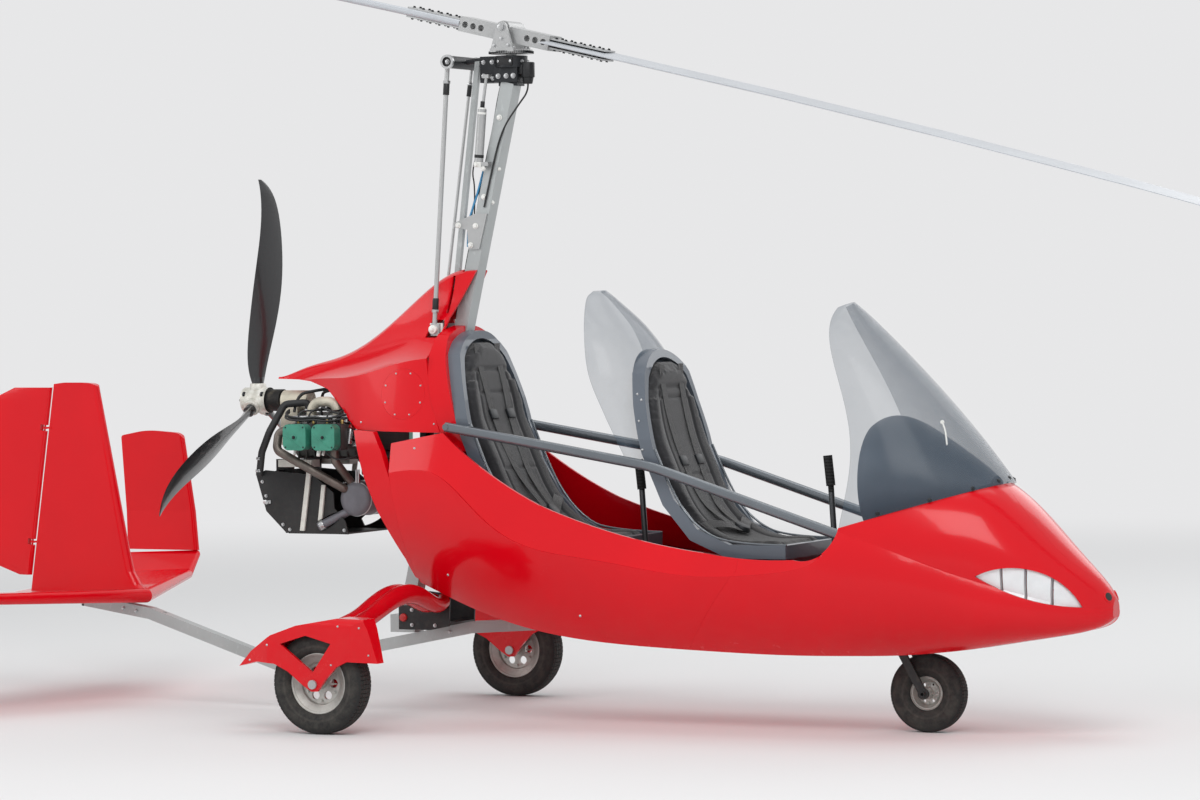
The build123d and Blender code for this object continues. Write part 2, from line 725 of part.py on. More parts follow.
# Screens, from the base up: rear edge, front edge and half width.
FRONT_SCREEN = [
    ((SCREEN_REAR_X, SCREEN_REAR_Z), (SCREEN_FRONT_X, SCREEN_FRONT_Z), SCREEN_HALF_WIDTH),
    ((1500.0, 1038.0), (1812.0, 1160.0), 296.0),
    ((1425.0, 1290.0), (1608.0, 1375.0), 222.0),
    ((1352.0, 1490.0), (1446.0, 1532.0), 122.0),
    ((1352.0, 1556.0), (1400.0, 1574.0), 40.0),
]
REAR_HALF = SEAT_HALF + SEAT_GAP + SCREEN_THICK
REAR_SCREEN = [
    ((600.0, 985.0), (688.0, 1010.0), REAR_HALF),
    ((505.0, 1170.0), (640.0, 1190.0), REAR_HALF),
    ((442.0, 1320.0), (622.0, 1350.0), REAR_HALF),
    ((402.0, 1475.0), (530.0, 1482.0), 222.0),
    ((358.0, 1590.0), (420.0, 1592.0), 110.0),
    ((352.0, 1626.0), (386.0, 1628.0), 36.0),
]


def make_seats():
    """Two bucket shells with flanges, their cushions, and the screen on the front one."""
    mast_room = mast_sleeve(200.0, 1700.0, SEAM)
    for name, line in SEAT_LINES.items():
        crown = SEAT_CROWN[name]
        body = side_prism(seat_outline(line, 0.0, SEAT_DEPTH), -SEAT_HALF, SEAT_HALF)
        body = body & seat_back_prism(crown, 0.0)
        inner = shortened(line, SEAT_FLANGE)
        half = SEAT_HALF - SEAT_FLANGE
        pocket = side_prism(seat_outline(inner, -30.0, SEAT_DEPTH - SEAT_WALL), -half, half)
        pocket = pocket & seat_back_prism(crown, SEAT_FLANGE)
        pan_z = line[-1][1] - SEAT_DEPTH
        foot = block(line[-1][0] - 250.0, line[-1][0] - 30.0, -150.0, 150.0,
                     FLOOR_Z + FLOOR_THICK + SEAT_GAP, pan_z + 5.0)
        save("seat_" + name + "_shell", largest((body - pocket) + foot - mast_room))
        pad_line = shortened(line, SEAT_FLANGE + 2.0)
        reach = SEAT_DEPTH - SEAT_WALL - SEAT_GAP
        pad = side_prism(seat_outline(pad_line, reach - CUSHION, reach), -half + 2.0, half - 2.0)
        save("seat_" + name + "_cushion", largest(pad & seat_back_prism(crown, SEAT_FLANGE + 2.0)))
    front = Solid.make_loft([crescent(*row) for row in FRONT_SCREEN])
    save("windshield_front", Pos(0, 0, SEAT_GAP) * front)
    rear = Solid.make_loft([crescent(*row) for row in REAR_SCREEN])
    line = SEAT_LINES["front"]
    half = SEAT_HALF + SEAT_GAP / 2
    room = side_prism(seat_outline(line, -60.0, SEAT_DEPTH + SEAT_GAP), -half, half)
    save("windscreen_rear", largest(rear - room))


def make_controls():
    """Sticks and pedals, fixed."""
    deck = FLOOR_Z + FLOOR_THICK + SEAT_GAP
    sticks = []
    for x, top in ((1330.0, 900.0), (560.0, 880.0)):
        foot = rod((x, 0, deck), (x, 0, deck + 12.0), 20.0)
        stick = foot + rod((x, 0, deck + 6.0), (x - 30.0, 0, top), 11.0)
        grip = rod((x - 30.0, 0, top - 2.0), (x - 42.0, 0, top + 110.0), 17.0)
        sticks.append(stick + grip)
    pedals = []
    for x, spread in ((1440.0, 110.0), (600.0, 225.0)):
        for side in (-1.0, 1.0):
            y = side * spread
            foot = rod((x, y, deck), (x, y, deck + 10.0), 14.0)
            arm = foot + rod((x, y, deck + 5.0), (x - 18.0, y, deck + 140.0), 7.0)
            pad = block(x - 32.0, x - 12.0, y - 38.0, y + 38.0, deck + 130.0, deck + 170.0)
            pedals.append(arm + pad)
    save("cockpit_controls", group(*sticks, *pedals))


# The yoke tube of the head and the two control rods below it, each from its upper to its lower end
YOKE_X = -211.0
YOKE_Z = 2504.0
YOKE_R = 24.0
YOKE_HALF = 125.0
HEAD_ARM = ((-110.0, 0, YOKE_Z + 10.0), (YOKE_X + YOKE_R - 2.0, 0, YOKE_Z + 2.0))
HEAD_ARM_R = 10.0
ROD_RIGHT = ((-222.0, -101.0, 2484.0), (-285.0, -112.0, 1500.0))
ROD_LEFT = ((-222.0, 101.0, 2484.0), (-318.0, 20.0, 1500.0))


def make_frame():
    """Keel beam, mast, strut, rear box and the bracket on the mast."""
    keel = keel_tube(KEEL_SIZE)
    save("keel_beam", keel - rod((TIE_X, 0, 100.0), (TIE_X, 0, 700.0), TIE_R))
    foot_x = mast_point(300.0)[0]
    foot_z = keel_top_z(foot_x) + 20.0
    mast = box_bar(mast_point(foot_z), mast_point(MAST_TOP_Z), MAST_Y_SIZE, MAST_X_SIZE)
    socket = block(foot_x - 45.0, foot_x + 60.0, -MAST_Y_SIZE / 2 - 4.0, MAST_Y_SIZE / 2 + 4.0,
                   keel_top_z(foot_x + 60.0) + SEAT_GAP, foot_z + 60.0)
    save("mast", largest(mast + socket))
    strut = box_bar(strut_point(1640.0), strut_point(HEAD_ARM[0][2] + 2.0), STRUT_SIZE, STRUT_SIZE)
    save("mast_strut", largest(strut - rod(*HEAD_ARM, HEAD_ARM_R + SEAT_GAP)))
    low = mast_point(1790.0)
    high = mast_point(1925.0)
    plates = []
    for side in (-1.0, 1.0):
        y0 = side * (MAST_Y_SIZE / 2 + SEAT_GAP)
        y1 = side * (MAST_Y_SIZE / 2 + 8.0)
        outline = [
            (low[0] - 26.0, low[1]),
            (low[0] + 20.0, low[1]),
            (high[0] + 24.0, high[1]),
            (high[0] - 30.0, high[1]),
            (high[0] - 120.0, high[1] - 34.0),
            (high[0] - 120.0, high[1] - 48.0),
            (high[0] - 62.0, high[1] - 60.0),
        ]
        plates.append(side_prism(outline, y0, y1))
    save("mast_bracket", group(*plates))
    sides = []
    for y in (-105.0, 105.0):
        outline = [
            (-350.0, 432.0),
            (-330.0, 484.0),
            (-234.0, 474.0),
            (-240.0, 350.0),
            (-320.0, 334.0),
            (-457.0, 334.0),
            (-457.0, 426.0),
        ]
        sides.append(side_prism(outline, y - 4.0, y + 4.0))
    shelf = keel_top_z(-240.0) + SEAT_GAP
    plate = block(-300.0, -240.0, -101.5, 101.5, shelf, shelf + 8.0)
    save("rear_box", largest(sides[0] + sides[1] + plate))


def make_rotor_head():
    """Fixed head block on the mast, its rods and the actuator."""
    top = MAST_TOP_Z
    low = top + 58.0
    high = RING_Z - MOVE_GAP
    cheeks = block(-52.0, 46.0, -44.0, 44.0, top + 2.0, top + 60.0)
    neck = block(-40.0, 40.0, -30.0, 30.0, top - 12.0, top + 4.0)
    housing = Pos(0, 0, (low + high) / 2) * Cylinder(62.0, high - low)
    stub = block(-118.0, -50.0, -32.0, 32.0, top + 2.0, high)
    arm = rod(*HEAD_ARM, HEAD_ARM_R)
    yoke = rod((YOKE_X, -YOKE_HALF, YOKE_Z), (YOKE_X, YOKE_HALF, YOKE_Z), YOKE_R, YOKE_R - 5.0)
    bore = rod((0, 0, top + 20.0), (0, 0, RING_Z), SPINDLE_R + RUN_FIT)
    mast_cut = mast_sleeve(1500.0, top, SEAT_GAP)
    save("rotor_head", largest(cheeks + neck + housing + stub + arm + yoke - bore - mast_cut))
    yoke_room = rod((YOKE_X, -YOKE_HALF, YOKE_Z), (YOKE_X, YOKE_HALF, YOKE_Z), YOKE_R + SEAT_GAP)
    low_z = ROD_RIGHT[1][2]
    rods = rod(*ROD_RIGHT, 9.0) + rod(*ROD_LEFT, 6.0) + rod(ROD_RIGHT[1], ROD_LEFT[1], 10.0)
    crank = block(ROD_RIGHT[1][0] - 14.0, ROD_RIGHT[1][0] + 22.0, -118.0, -100.0, low_z - 38.0, low_z + 8.0)
    behind = mast_rear_x(low_z + 8.0) - 4.0
    link = block(-310.0, behind, -12.0, 12.0, low_z - 8.0, low_z + 8.0)
    save("pitch_rods", largest((rods + crank + link) - yoke_room))
    body = rod((-117.0, -56.0, 2108.0), (-98.0, -56.0, 2323.0), 17.0)
    piston = rod((-98.1, -56.0, 2321.0), (-78.0, -56.0, 2450.0), 6.0)
    lug = block(-126.0, -72.0, -66.0, -MAST_Y_SIZE / 2 - SEAT_GAP, 2106.0, 2122.0)
    head_lug = block(-90.0, -66.0, -64.0, -32.0 - SEAT_GAP, 2440.0, 2454.0)
    save("trim_actuator", largest(body + piston + lug + head_lug))


def blade_drop(s):
    """How far the blade hangs below its root line at a distance from the hub."""
    return BLADE_DROOP * max(s - STRAP_END, 0.0) ** 2


def make_rotor():
    """Ring and towers that spin, then the hub bar and blades that teeter."""
    ring = Pos(0, 0, RING_Z + 6.0) * Cylinder(RING_R, 12.0)
    base = Pos(0, 0, RING_Z + 12.0) * Box(100.0, TOWER_SPACING + TOWER_THICK, 14.0)
    spindle = rod((0, 0, MAST_TOP_Z + 24.0), (0, 0, RING_Z + 4.0), SPINDLE_R)
    carrier = ring + base + spindle
    for side in (-1.0, 1.0):
        y = side * TOWER_SPACING / 2
        outline = [(-48.0, RING_Z + 10.0), (48.0, RING_Z + 10.0), (22.0, TEETER_Z), (-22.0, TEETER_Z)]
        carrier = carrier + side_prism(outline, y - TOWER_THICK / 2, y + TOWER_THICK / 2)
        carrier = carrier + rod((0, y - TOWER_THICK / 2, TEETER_Z), (0, y + TOWER_THICK / 2, TEETER_Z), 22.0)
    reach = TOWER_SPACING / 2 + 18.0
    carrier = carrier + rod((0, -reach, TEETER_Z), (0, reach, TEETER_Z), TEETER_BOLT_R)
    save("rotor_towers", largest(carrier))

    tilt = Pos(0, 0, TEETER_Z) * Rot(0, TEETER_TILT, 0)
    boss_half = TOWER_SPACING / 2 - TOWER_THICK / 2 - 5.0
    hung = Pos(0, 0, -UNDERSLING)
    hub = hung * Box(HUB_LENGTH, HUB_WIDTH, HUB_DEPTH) + Rot(90, 0, 0) * Cylinder(26.0, 2 * boss_half)
    for x in (-170.0, -135.0, -100.0, 100.0, 135.0, 170.0):
        hub = hub - hung * Pos(x, 0, 0) * Rot(90, 0, 0) * Cylinder(12.0, 300.0)
    strap_z = BLADE_THICK / 2 + SEAT_GAP
    for side in (-1.0, 1.0):
        x0 = side * (HUB_LENGTH / 2 - 20.0)
        x1 = side * STRAP_END
        hub = hub + hung * block(x0, x1, -45.0, 45.0, strap_z, strap_z + STRAP_THICK)
        hub = hub + hung * block(x0, x1, -45.0, 45.0, -strap_z - STRAP_THICK, -strap_z)
    hub = hub - Rot(90, 0, 0) * Cylinder(TEETER_BOLT_R + RUN_FIT, 300.0)
    save("hub_bar", tilt * largest(hub))

    lead = 0.28 * BLADE_CHORD
    tail = lead - BLADE_CHORD
    t = BLADE_THICK / 2
    sections = []
    for s in (HUB_LENGTH / 2 + SEAM, STRAP_END, 1100.0, 1800.0, 2600.0, 3400.0, ROTOR_R):
        z = -blade_drop(s) - UNDERSLING
        nose = ThreePointArc((s, lead - t, z - t), (s, lead, z), (s, lead - t, z + t))
        rest = Polyline((s, lead - t, z + t), (s, tail, z + 1.5), (s, tail, z - 1.5), (s, lead - t, z - t))
        sections.append(Wire([nose.edge(), *rest.edges()]))
    blade = Solid.make_loft(sections, ruled=True)
    save("rotor_blades", group(tilt * blade, tilt * Rot(0, 0, 180) * blade))


def make_wheel(name, centre, tyre_r, tyre_w, rim_r, bore_r, hub_half):
    """A tyre and its rim on an axis along Y."""
    w = tyre_w / 2
    wall = tyre_r - rim_r
    profile = [
        (-w * 0.62, rim_r),
        (-w * 0.96, rim_r + 0.26 * wall),
        (-w, rim_r + 0.5 * wall),
        (-w * 0.92, rim_r + 0.76 * wall),
        (-w * 0.66, rim_r + 0.95 * wall),
        (-w * 0.3, tyre_r),
    ]
    mirrored = [(-h, r) for h, r in profile[::-1]]
    save(name + "_tyre", turned(profile + mirrored, centre, (0, 1, 0)))
    well = rim_r * 0.72
    hub_r = bore_r * 2.2
    half_rim = [
        (-w * 0.62, rim_r - 0.1),
        (-w * 0.62, rim_r - 7.0),
        (-w * 0.30, well),
        (-6.0, well - 4.0),
        (-8.0, hub_r),
        (-hub_half, hub_r),
        (-hub_half, bore_r + RUN_FIT),
    ]
    wheel = turned(half_rim + [(-h, r) for h, r in half_rim[::-1]], centre, (0, 1, 0))
    count = 6
    r = (well + hub_r) / 2
    for i in range(count):
        angle = 2 * math.pi * i / count
        x = centre[0] + r * math.cos(angle)
        z = centre[2] + r * math.sin(angle)
        wheel = wheel - rod((x, centre[1] - 60.0, z), (x, centre[1] + 60.0, z), (well - hub_r) * 0.28)
    save(name + "_rim", wheel)


def make_main_gear():
    """Main legs, fairings, axles and wheels."""
    track = MAIN_TRACK / 2
    hub_half = MAIN_TYRE_W / 2 + 2.0
    cheek_in = MAIN_TYRE_W / 2 + CHEEK_GAP
    cheek_out = cheek_in + CHEEK_THICK
    axle_x = MAIN_AXLE_X
    axle_z = MAIN_TYRE_R
    for name, side in (("right", -1.0), ("left", 1.0)):
        make_wheel("main_" + name, (axle_x, side * track, axle_z), MAIN_TYRE_R, MAIN_TYRE_W,
                   MAIN_RIM_R, MAIN_AXLE_R, hub_half)
    outline = [
        (-745.0, 245.0),
        (-684.0, 303.0),
        (-586.0, 366.0),
        (-478.0, 404.0),
        (-317.0, 432.0),
        (-201.0, 430.0),
        (-183.0, 392.0),
        (-160.0, 318.0),
        (-146.0, 270.0),
        (-265.0, 275.0),
        (-309.0, 254.0),
        (-352.0, 210.0),
        (-388.0, 163.0),
        (-414.0, 162.0),
        (-449.0, 184.0),
        (-513.0, 234.0),
        (-571.0, 261.0),
        (-652.0, 266.0),
    ]
    y_out = -track - cheek_out
    y_in = -track + cheek_out
    body = side_prism(outline, y_out, y_in)
    half = cheek_out
    plan = [
        (-750.0, -track - 0.35 * half),
        (-600.0, y_out),
        (-250.0, y_out),
        (-140.0, -track - 0.7 * half),
        (-140.0, -track - 0.1 * half),
        (-270.0, y_in),
        (-600.0, y_in),
        (-750.0, -track + 0.35 * half),
    ]
    body = body & plan_prism(plan, 100.0, 500.0)
    crown = Plane(origin=(-800.0, -track, 0), x_dir=(0, 1, 0), z_dir=(1, 0, 0))
    front_view = FilletPolyline((-half, 100.0), (half, 100.0), (half, 433.0), (-half, 433.0),
                                radius=[0.0, 0.0, FAIRING_EDGE_R, FAIRING_EDGE_R], close=True)
    body = body & extrude(crown * make_face(front_view), amount=700.0, dir=(1, 0, 0))
    arch = MAIN_TYRE_R + ARCH_GAP
    wheel_room = rod((axle_x, -track - cheek_in, axle_z), (axle_x, -track + cheek_in, axle_z), arch)
    low_room = block(-560.0, -250.0, -track - cheek_in, -track + cheek_in, 100.0, 300.0)
    hole = [(-545.0, 335.0), (-437.0, 368.0), (-331.0, 340.0), (-408.0, 232.0)]
    window = side_prism(hole, y_out - 5.0, -track - cheek_in + 1.0)
    pin_room = rod((axle_x, y_out - 20.0, axle_z), (axle_x, y_in + 20.0, axle_z), MAIN_AXLE_R)
    fairing = largest(body - wheel_room - low_room - window - pin_room)
    save("wheel_fairing_right", fairing)
    save("wheel_fairing_left", fairing.mirror(Plane.XZ))

    pin = rod((axle_x, y_out - 9.0, axle_z), (axle_x, y_in + 9.0, axle_z), MAIN_AXLE_R)
    outer_head = rod((axle_x, y_out - 9.5, axle_z), (axle_x, y_out - SEAT_GAP, axle_z), MAIN_AXLE_R * 1.7)
    inner_head = rod((axle_x, y_in + SEAT_GAP, axle_z), (axle_x, y_in + 9.5, axle_z), MAIN_AXLE_R * 1.7)
    save("main_axles", both_sides(largest(pin + outer_head + inner_head)))

    leg_columns = ("y", "x", "z", "half_x", "half_z")
    leg_rows = [
        (-109.0 - SEAT_GAP, -284.0, 446.0, 50.0, 22.0),
        (-230.0, -292.0, 458.0, 56.0, 26.0),
        (-340.0, -305.0, 489.0, 58.0, 31.0),
        (-450.0, -322.0, 474.0, 58.0, 31.0),
        (-590.0, -335.0, 424.0, 56.0, 26.0),
        (y_in + SEAT_GAP, -335.0, 392.0, 60.0, 22.0),
    ]
    wires = []
    for row in leg_rows:
        s = dict(zip(leg_columns, row))
        x, y, z = s["x"], s["y"], s["z"]
        front = ThreePointArc((x, y, z + s["half_z"]), (x + s["half_x"], y, z), (x, y, z - s["half_z"]))
        rear = ThreePointArc((x, y, z - s["half_z"]), (x - s["half_x"], y, z), (x, y, z + s["half_z"]))
        wires.append(Wire([front.edge(), rear.edge()]))
    save("gear_legs", both_sides(Solid.make_loft(wires)))


def make_nose_gear():
    """Nose wheel, its raked fork and the steering head on the keel's front end."""
    hub_half = NOSE_TYRE_W / 2 + 4.0
    centre = (NOSE_AXLE_X, 0.0, NOSE_TYRE_R)
    make_wheel("nose", centre, NOSE_TYRE_R, NOSE_TYRE_W, NOSE_RIM_R, NOSE_AXLE_R, hub_half)
    leg_y = hub_half + 9.0
    leg_out = leg_y + 12.0
    low = (NOSE_AXLE_X, NOSE_TYRE_R)
    crown = fork_axis_point(NOSE_TYRE_R + 34.0)
    axis = Vector(*fork_axis_point(400.0)) - Vector(*fork_axis_point(0.0))
    place = Plane(origin=crown, x_dir=(0, 1, 0), z_dir=axis)
    fork = place * Box(2 * leg_out, 34.0, 16.0)
    for side in (-1.0, 1.0):
        y = side * (leg_y + 6.0)
        fork = fork + Pos(0, y, 0) * box_bar(low, (crown[0], crown[2]), 12.0, 30.0)
        fork = fork + rod((low[0], y - 6.0, low[1]), (low[0], y + 6.0, low[1]), 20.0)
    fork = fork + rod(fork_axis_point(NOSE_TYRE_R + 36.0), fork_axis_point(HEAD_TOP + 12.0), STEM_R)
    fork = fork + rod(fork_axis_point(HEAD_TOP + 6.0), fork_axis_point(HEAD_TOP + 16.0), STEM_R + 9.0)
    reach = leg_out + 8.0
    fork = fork + rod((low[0], -reach, low[1]), (low[0], reach, low[1]), NOSE_AXLE_R)
    bore = rod((low[0], -reach - 20.0, low[1]), (low[0], reach + 20.0, low[1]), TOW_BORE_R)
    save("nose_fork", largest(fork - bore))
    head = rod(fork_axis_point(HEAD_LOW), fork_axis_point(HEAD_TOP), STEM_R + 10.0)
    end = KEEL_POINTS[-1]
    at = fork_axis_point((HEAD_LOW + HEAD_TOP) / 2)
    gusset = box_bar((end[0] - 20.0, end[1]), (at[0], at[2] - 6.0), 40.0, 44.0)
    behind = keel_tube(KEEL_SIZE + 2 * SEAT_GAP)
    stem_room = rod(fork_axis_point(HEAD_LOW - 60.0), fork_axis_point(HEAD_TOP + 60.0), STEM_R + RUN_FIT)
    save("steering_head", largest(head + gusset - behind - stem_room))


def lens(x_front, chord, thick, y, z):
    """A closed aerofoil-like section in the XZ plane at y, nose forward."""
    t = thick / 2
    nose = ThreePointArc((x_front - t, y, z + t), (x_front, y, z), (x_front - t, y, z - t))
    rest = Polyline((x_front - t, y, z - t), (x_front - chord, y, z - EDGE_HALF),
                    (x_front - chord, y, z + EDGE_HALF), (x_front - t, y, z + t))
    return Wire([nose.edge(), *rest.edges()])


def upright(x_front, x_rear, thick, y, z):
    """A closed section in the XY plane at z, nose forward."""
    t = thick / 2
    nose = ThreePointArc((x_front - t, y + t, z), (x_front, y, z), (x_front - t, y - t, z))
    rest = Polyline((x_front - t, y - t, z), (x_rear, y - EDGE_HALF, z),
                    (x_rear, y + EDGE_HALF, z), (x_front - t, y + t, z))
    return Wire([nose.edge(), *rest.edges()])


# Trailing edge of the centre fin, at two heights
FIN_LOW = (-2192.0, 470.0)
FIN_HIGH = (-2076.0, 1268.0)


def fin_rear_x(z):
    """The centre fin's trailing edge at a height."""
    return FIN_LOW[0] + (z - FIN_LOW[1]) * (FIN_HIGH[0] - FIN_LOW[0]) / (FIN_HIGH[1] - FIN_LOW[1])


def hinge_point(z):
    """The rudder's hinge line at a height."""
    return (fin_rear_x(z) - RUDDER_GAP - RUDDER_THICK / 2, 0.0, z)


def make_tail():
    """Tailplane with upturned tips, side fins, centre fin and rudder."""
    rows = [
        (0.0, -1629.0, 650.0, 56.0, 432.0),
        (400.0, -1775.0, 500.0, 48.0, 448.0),
        (TAIL_HALF_SPAN, -1921.0, 370.0, 42.0, 464.0),
        (FIN_Y - 13.0, -1938.0, 360.0, 34.0, 540.0),
    ]
    half = Solid.make_loft([lens(x, chord, thick, y, z) for y, x, chord, thick, z in rows], ruled=True)
    plane = half + half.mirror(Plane.XZ)
    save("tailplane", largest(plane - keel_tube(KEEL_SIZE + 2 * SEAT_GAP)))
    side_rows = [
        (-1944.0, -2290.0, 30.0, FIN_Y - 13.0, 557.0 + SEAT_GAP),
        (-1966.0, -2302.0, 30.0, FIN_Y, 720.0),
        (-2024.0, -2330.0, 26.0, FIN_Y + 6.0, 1062.0),
    ]
    fin = Solid.make_loft([upright(*row) for row in side_rows], ruled=True)
    outline = [(-1850.0, 400.0), (-2022.0, 1048.0), (-2200.0, 1061.0), (-2326.0, 1037.0), (-2400.0, 400.0)]
    crown = rounded_side_prism(outline, [0.0, 55.0, 400.0, 12.0, 0.0], 700.0, 1000.0)
    save("side_fins", both_sides(largest(fin & crown)))

    fin_rows = [
        (440.0, -1640.0, 60.0),
        (475.0, -1680.0, 52.0),
        (528.0, -1712.0, 46.0),
        (610.0, -1732.0, 44.0),
        (1282.0, -1868.0, 36.0),
    ]
    wires = [upright(front, fin_rear_x(z), thick, 0.0, z) for z, front, thick in fin_rows]
    centre = Solid.make_loft(wires, ruled=True)
    outline = [(-1500.0, 300.0), (-1855.0, 1278.0), (-2000.0, 1285.0), (-2110.0, 1272.0), (-2300.0, 300.0)]
    centre = centre & rounded_side_prism(outline, [0.0, 75.0, 500.0, 10.0, 0.0], -100.0, 100.0)
    rudder_rows = [
        (506.0, -2250.0),
        (600.0, -2520.0),
        (660.0, -2548.0),
        (1120.0, -2425.0),
        (1215.0, -2372.0),
        (1262.0, -2262.0),
    ]
    t = RUDDER_THICK / 2
    wires = [upright(hinge_point(z)[0] + t, rear, RUDDER_THICK, 0.0, z) for z, rear in rudder_rows]
    rudder = Solid.make_loft(wires, ruled=True)
    for z in (640.0, 1100.0):
        low = hinge_point(z - 4.0)
        high = hinge_point(z + 4.0)
        eye = rod(low, high, HINGE_PIN_R + 6.0)
        tongue = block(fin_rear_x(z) + 12.0, low[0], -6.0, 6.0, z - 4.0, z + 4.0)
        centre = centre + (tongue + eye)
        centre = centre - rod(hinge_point(z - 40.0), hinge_point(z + 40.0), HINGE_PIN_R + RUN_FIT)
        rudder = rudder - rod(hinge_point(z - 12.0), hinge_point(z + 12.0), RUDDER_THICK / 2 + 6.0)
        rudder = rudder + rod(hinge_point(z - 20.0), hinge_point(z + 20.0), HINGE_PIN_R)
    saddle = Pos(0, 0, SEAT_GAP) * plane
    save("centre_fin", largest(centre - saddle))
    save("rudder", largest(rudder))


def make_engine():
    """Engine block and what hangs on it."""
    low = CRANK_Z - 92.0
    high = CRANK_Z + 88.0
    save("engine_block", block(ENGINE_REAR_X, ENGINE_FRONT_X, -ENGINE_HALF, ENGINE_HALF, low, high))
    heads = []
    covers = []
    for x in CYLINDER_X:
        end = x + CYLINDER_WIDTH
        heads.append(block(x, end, -HEAD_OUT, -ENGINE_HALF - SEAT_GAP, CRANK_Z - 52.0, CRANK_Z + 52.0))
        cover = block(x + 2.0, end - 2.0, -COVER_OUT, -HEAD_OUT - SEAT_GAP, CRANK_Z - 50.0, CRANK_Z + 50.0)
        covers.append(fillet(cover.edges().filter_by(Axis.Y), COVER_CORNER_R))
    save("cylinder_heads", both_sides(group(*heads)))
    save("valve_covers", both_sides(group(*covers)))

    box = block(-1000.0, ENGINE_REAR_X - SEAT_GAP, -52.0, 52.0, CRANK_Z - 40.0, PROP_Z - 6.0)
    case = rod((-1008.0, 0, PROP_Z - 3.0), (-893.0, 0, PROP_Z - 3.0), 42.0)
    gearbox = box + case - rod((-1100.0, 0, PROP_Z), (-950.0, 0, PROP_Z), PROP_SHAFT_R + RUN_FIT)
    save("gearbox", largest(gearbox))

    airbox = block(-620.0, ENGINE_FRONT_X, -70.0, 70.0, high + SEAT_GAP, high + 50.0)
    port_top = CRANK_Z + 52.0 + SEAT_GAP
    lift = CRANK_Z + 133.0
    points = [
        (INTAKE_X[0], -175.0, port_top),
        (INTAKE_X[0], -175.0, lift),
        (INTAKE_X[1], -175.0, lift),
        (INTAKE_X[1], -175.0, port_top),
    ]
    save("intake_tubes", group(airbox, both_sides(pipe(points, 19.5, [45.0, 45.0]))))

    muffler = rod((MUFFLER_X, -165.0, MUFFLER_Z), (MUFFLER_X, 165.0, MUFFLER_Z), MUFFLER_R)
    outlet = [(MUFFLER_X, -115.0, MUFFLER_Z - 30.0), (-650.0, -150.0, 787.0), (-760.0, -188.0, 729.0)]
    save("muffler", largest(muffler + pipe(outlet, 16.5, [50.0])))
    room = rod((MUFFLER_X, -165.0, MUFFLER_Z), (MUFFLER_X, 165.0, MUFFLER_Z), MUFFLER_R + SEAT_GAP)
    front_mid = CYLINDER_X[1] + CYLINDER_WIDTH / 2
    rear_run = [
        (CYLINDER_X[0] - SEAT_GAP, -240.0, 1100.0),
        (-902.0, -240.0, 1100.0),
        (-902.0, -258.0, 1026.0),
        (-754.0, -240.0, 947.0),
        (-655.0, -178.0, 878.0),
        (-630.0, -140.0, 860.0),
    ]
    front_run = [
        (front_mid, -225.0, CRANK_Z - 52.0 - SEAT_GAP),
        (front_mid, -225.0, 985.0),
        (-625.0, -140.0, 880.0),
    ]
    header = pipe(rear_run, 16.5, [26.0, 32.0, 60.0, 20.0]) + pipe(front_run, 16.0, [25.0])
    save("exhaust_pipes", both_sides(group(header - room)))

    core = [(-1000.0, 930.0), (-950.0, 945.0), (-865.0, 702.0), (-912.0, 702.0)]
    radiator = side_prism(core, -171.0, 171.0)
    cheek = [
        (-1041.0, 925.0),
        (-998.0, 786.0),
        (-910.0, 703.0),
        (-637.0, 700.0),
        (-650.0, 752.0),
        (-697.0, 800.0),
        (-700.0, 860.0),
        (-790.0, 928.0),
        (-1000.0, 945.0),
    ]
    outlet_room = pipe(outlet, 22.0, [50.0])
    outlet_room = outlet_room + outlet_room.mirror(Plane.XZ)
    for y in (-177.0, 171.0):
        radiator = radiator + (side_prism(cheek, y, y + 6.0) - outlet_room)
    pan = block(-900.0, -640.0, -175.0, 175.0, 700.5, 706.5)
    hangers = block(-985.0, -915.0, -118.0, -98.0, 930.0, low - SEAT_GAP)
    hangers = hangers + block(-985.0, -915.0, 98.0, 118.0, 930.0, low - SEAT_GAP)
    save("radiator", largest(radiator + pan + hangers))

    bracket = block(-937.0, -790.0, -186.0, -120.0, 958.0, low - SEAT_GAP)
    rear_brace = [(-790.0, 962.0), (-809.0, 962.0), (-845.0, 712.0), (-826.0, 712.0)]
    front_brace = [(-731.0, 890.0), (-747.0, 890.0), (-770.0, 708.0), (-754.0, 708.0)]
    rear_bar = side_prism(rear_brace, -186.0, -177.0 - SEAT_GAP)
    front_bar = side_prism(front_brace, -186.0, -177.0 - SEAT_GAP) - outlet_room
    save("radiator_braces", both_sides(group(bracket + rear_bar, largest(front_bar))))

    hose_points = [
        (-850.0, -95.0, high + SEAT_GAP),
        (-850.0, -95.0, 1206.0),
        (-934.0, -135.0, 1200.0),
        (-974.0, -186.0, 1095.0),
        (-1006.0, -192.0, 1015.0),
        (-1018.0, -192.0, 925.0),
    ]
    hose = pipe(hose_points, 14.0, [18.0, 30.0, 60.0, 60.0])
    spigot = rod((-1018.0, -192.0, 935.0), (-1018.0, -177.0 - SEAT_GAP, 935.0), 10.0)
    save("coolant_hoses", largest(hose + spigot))

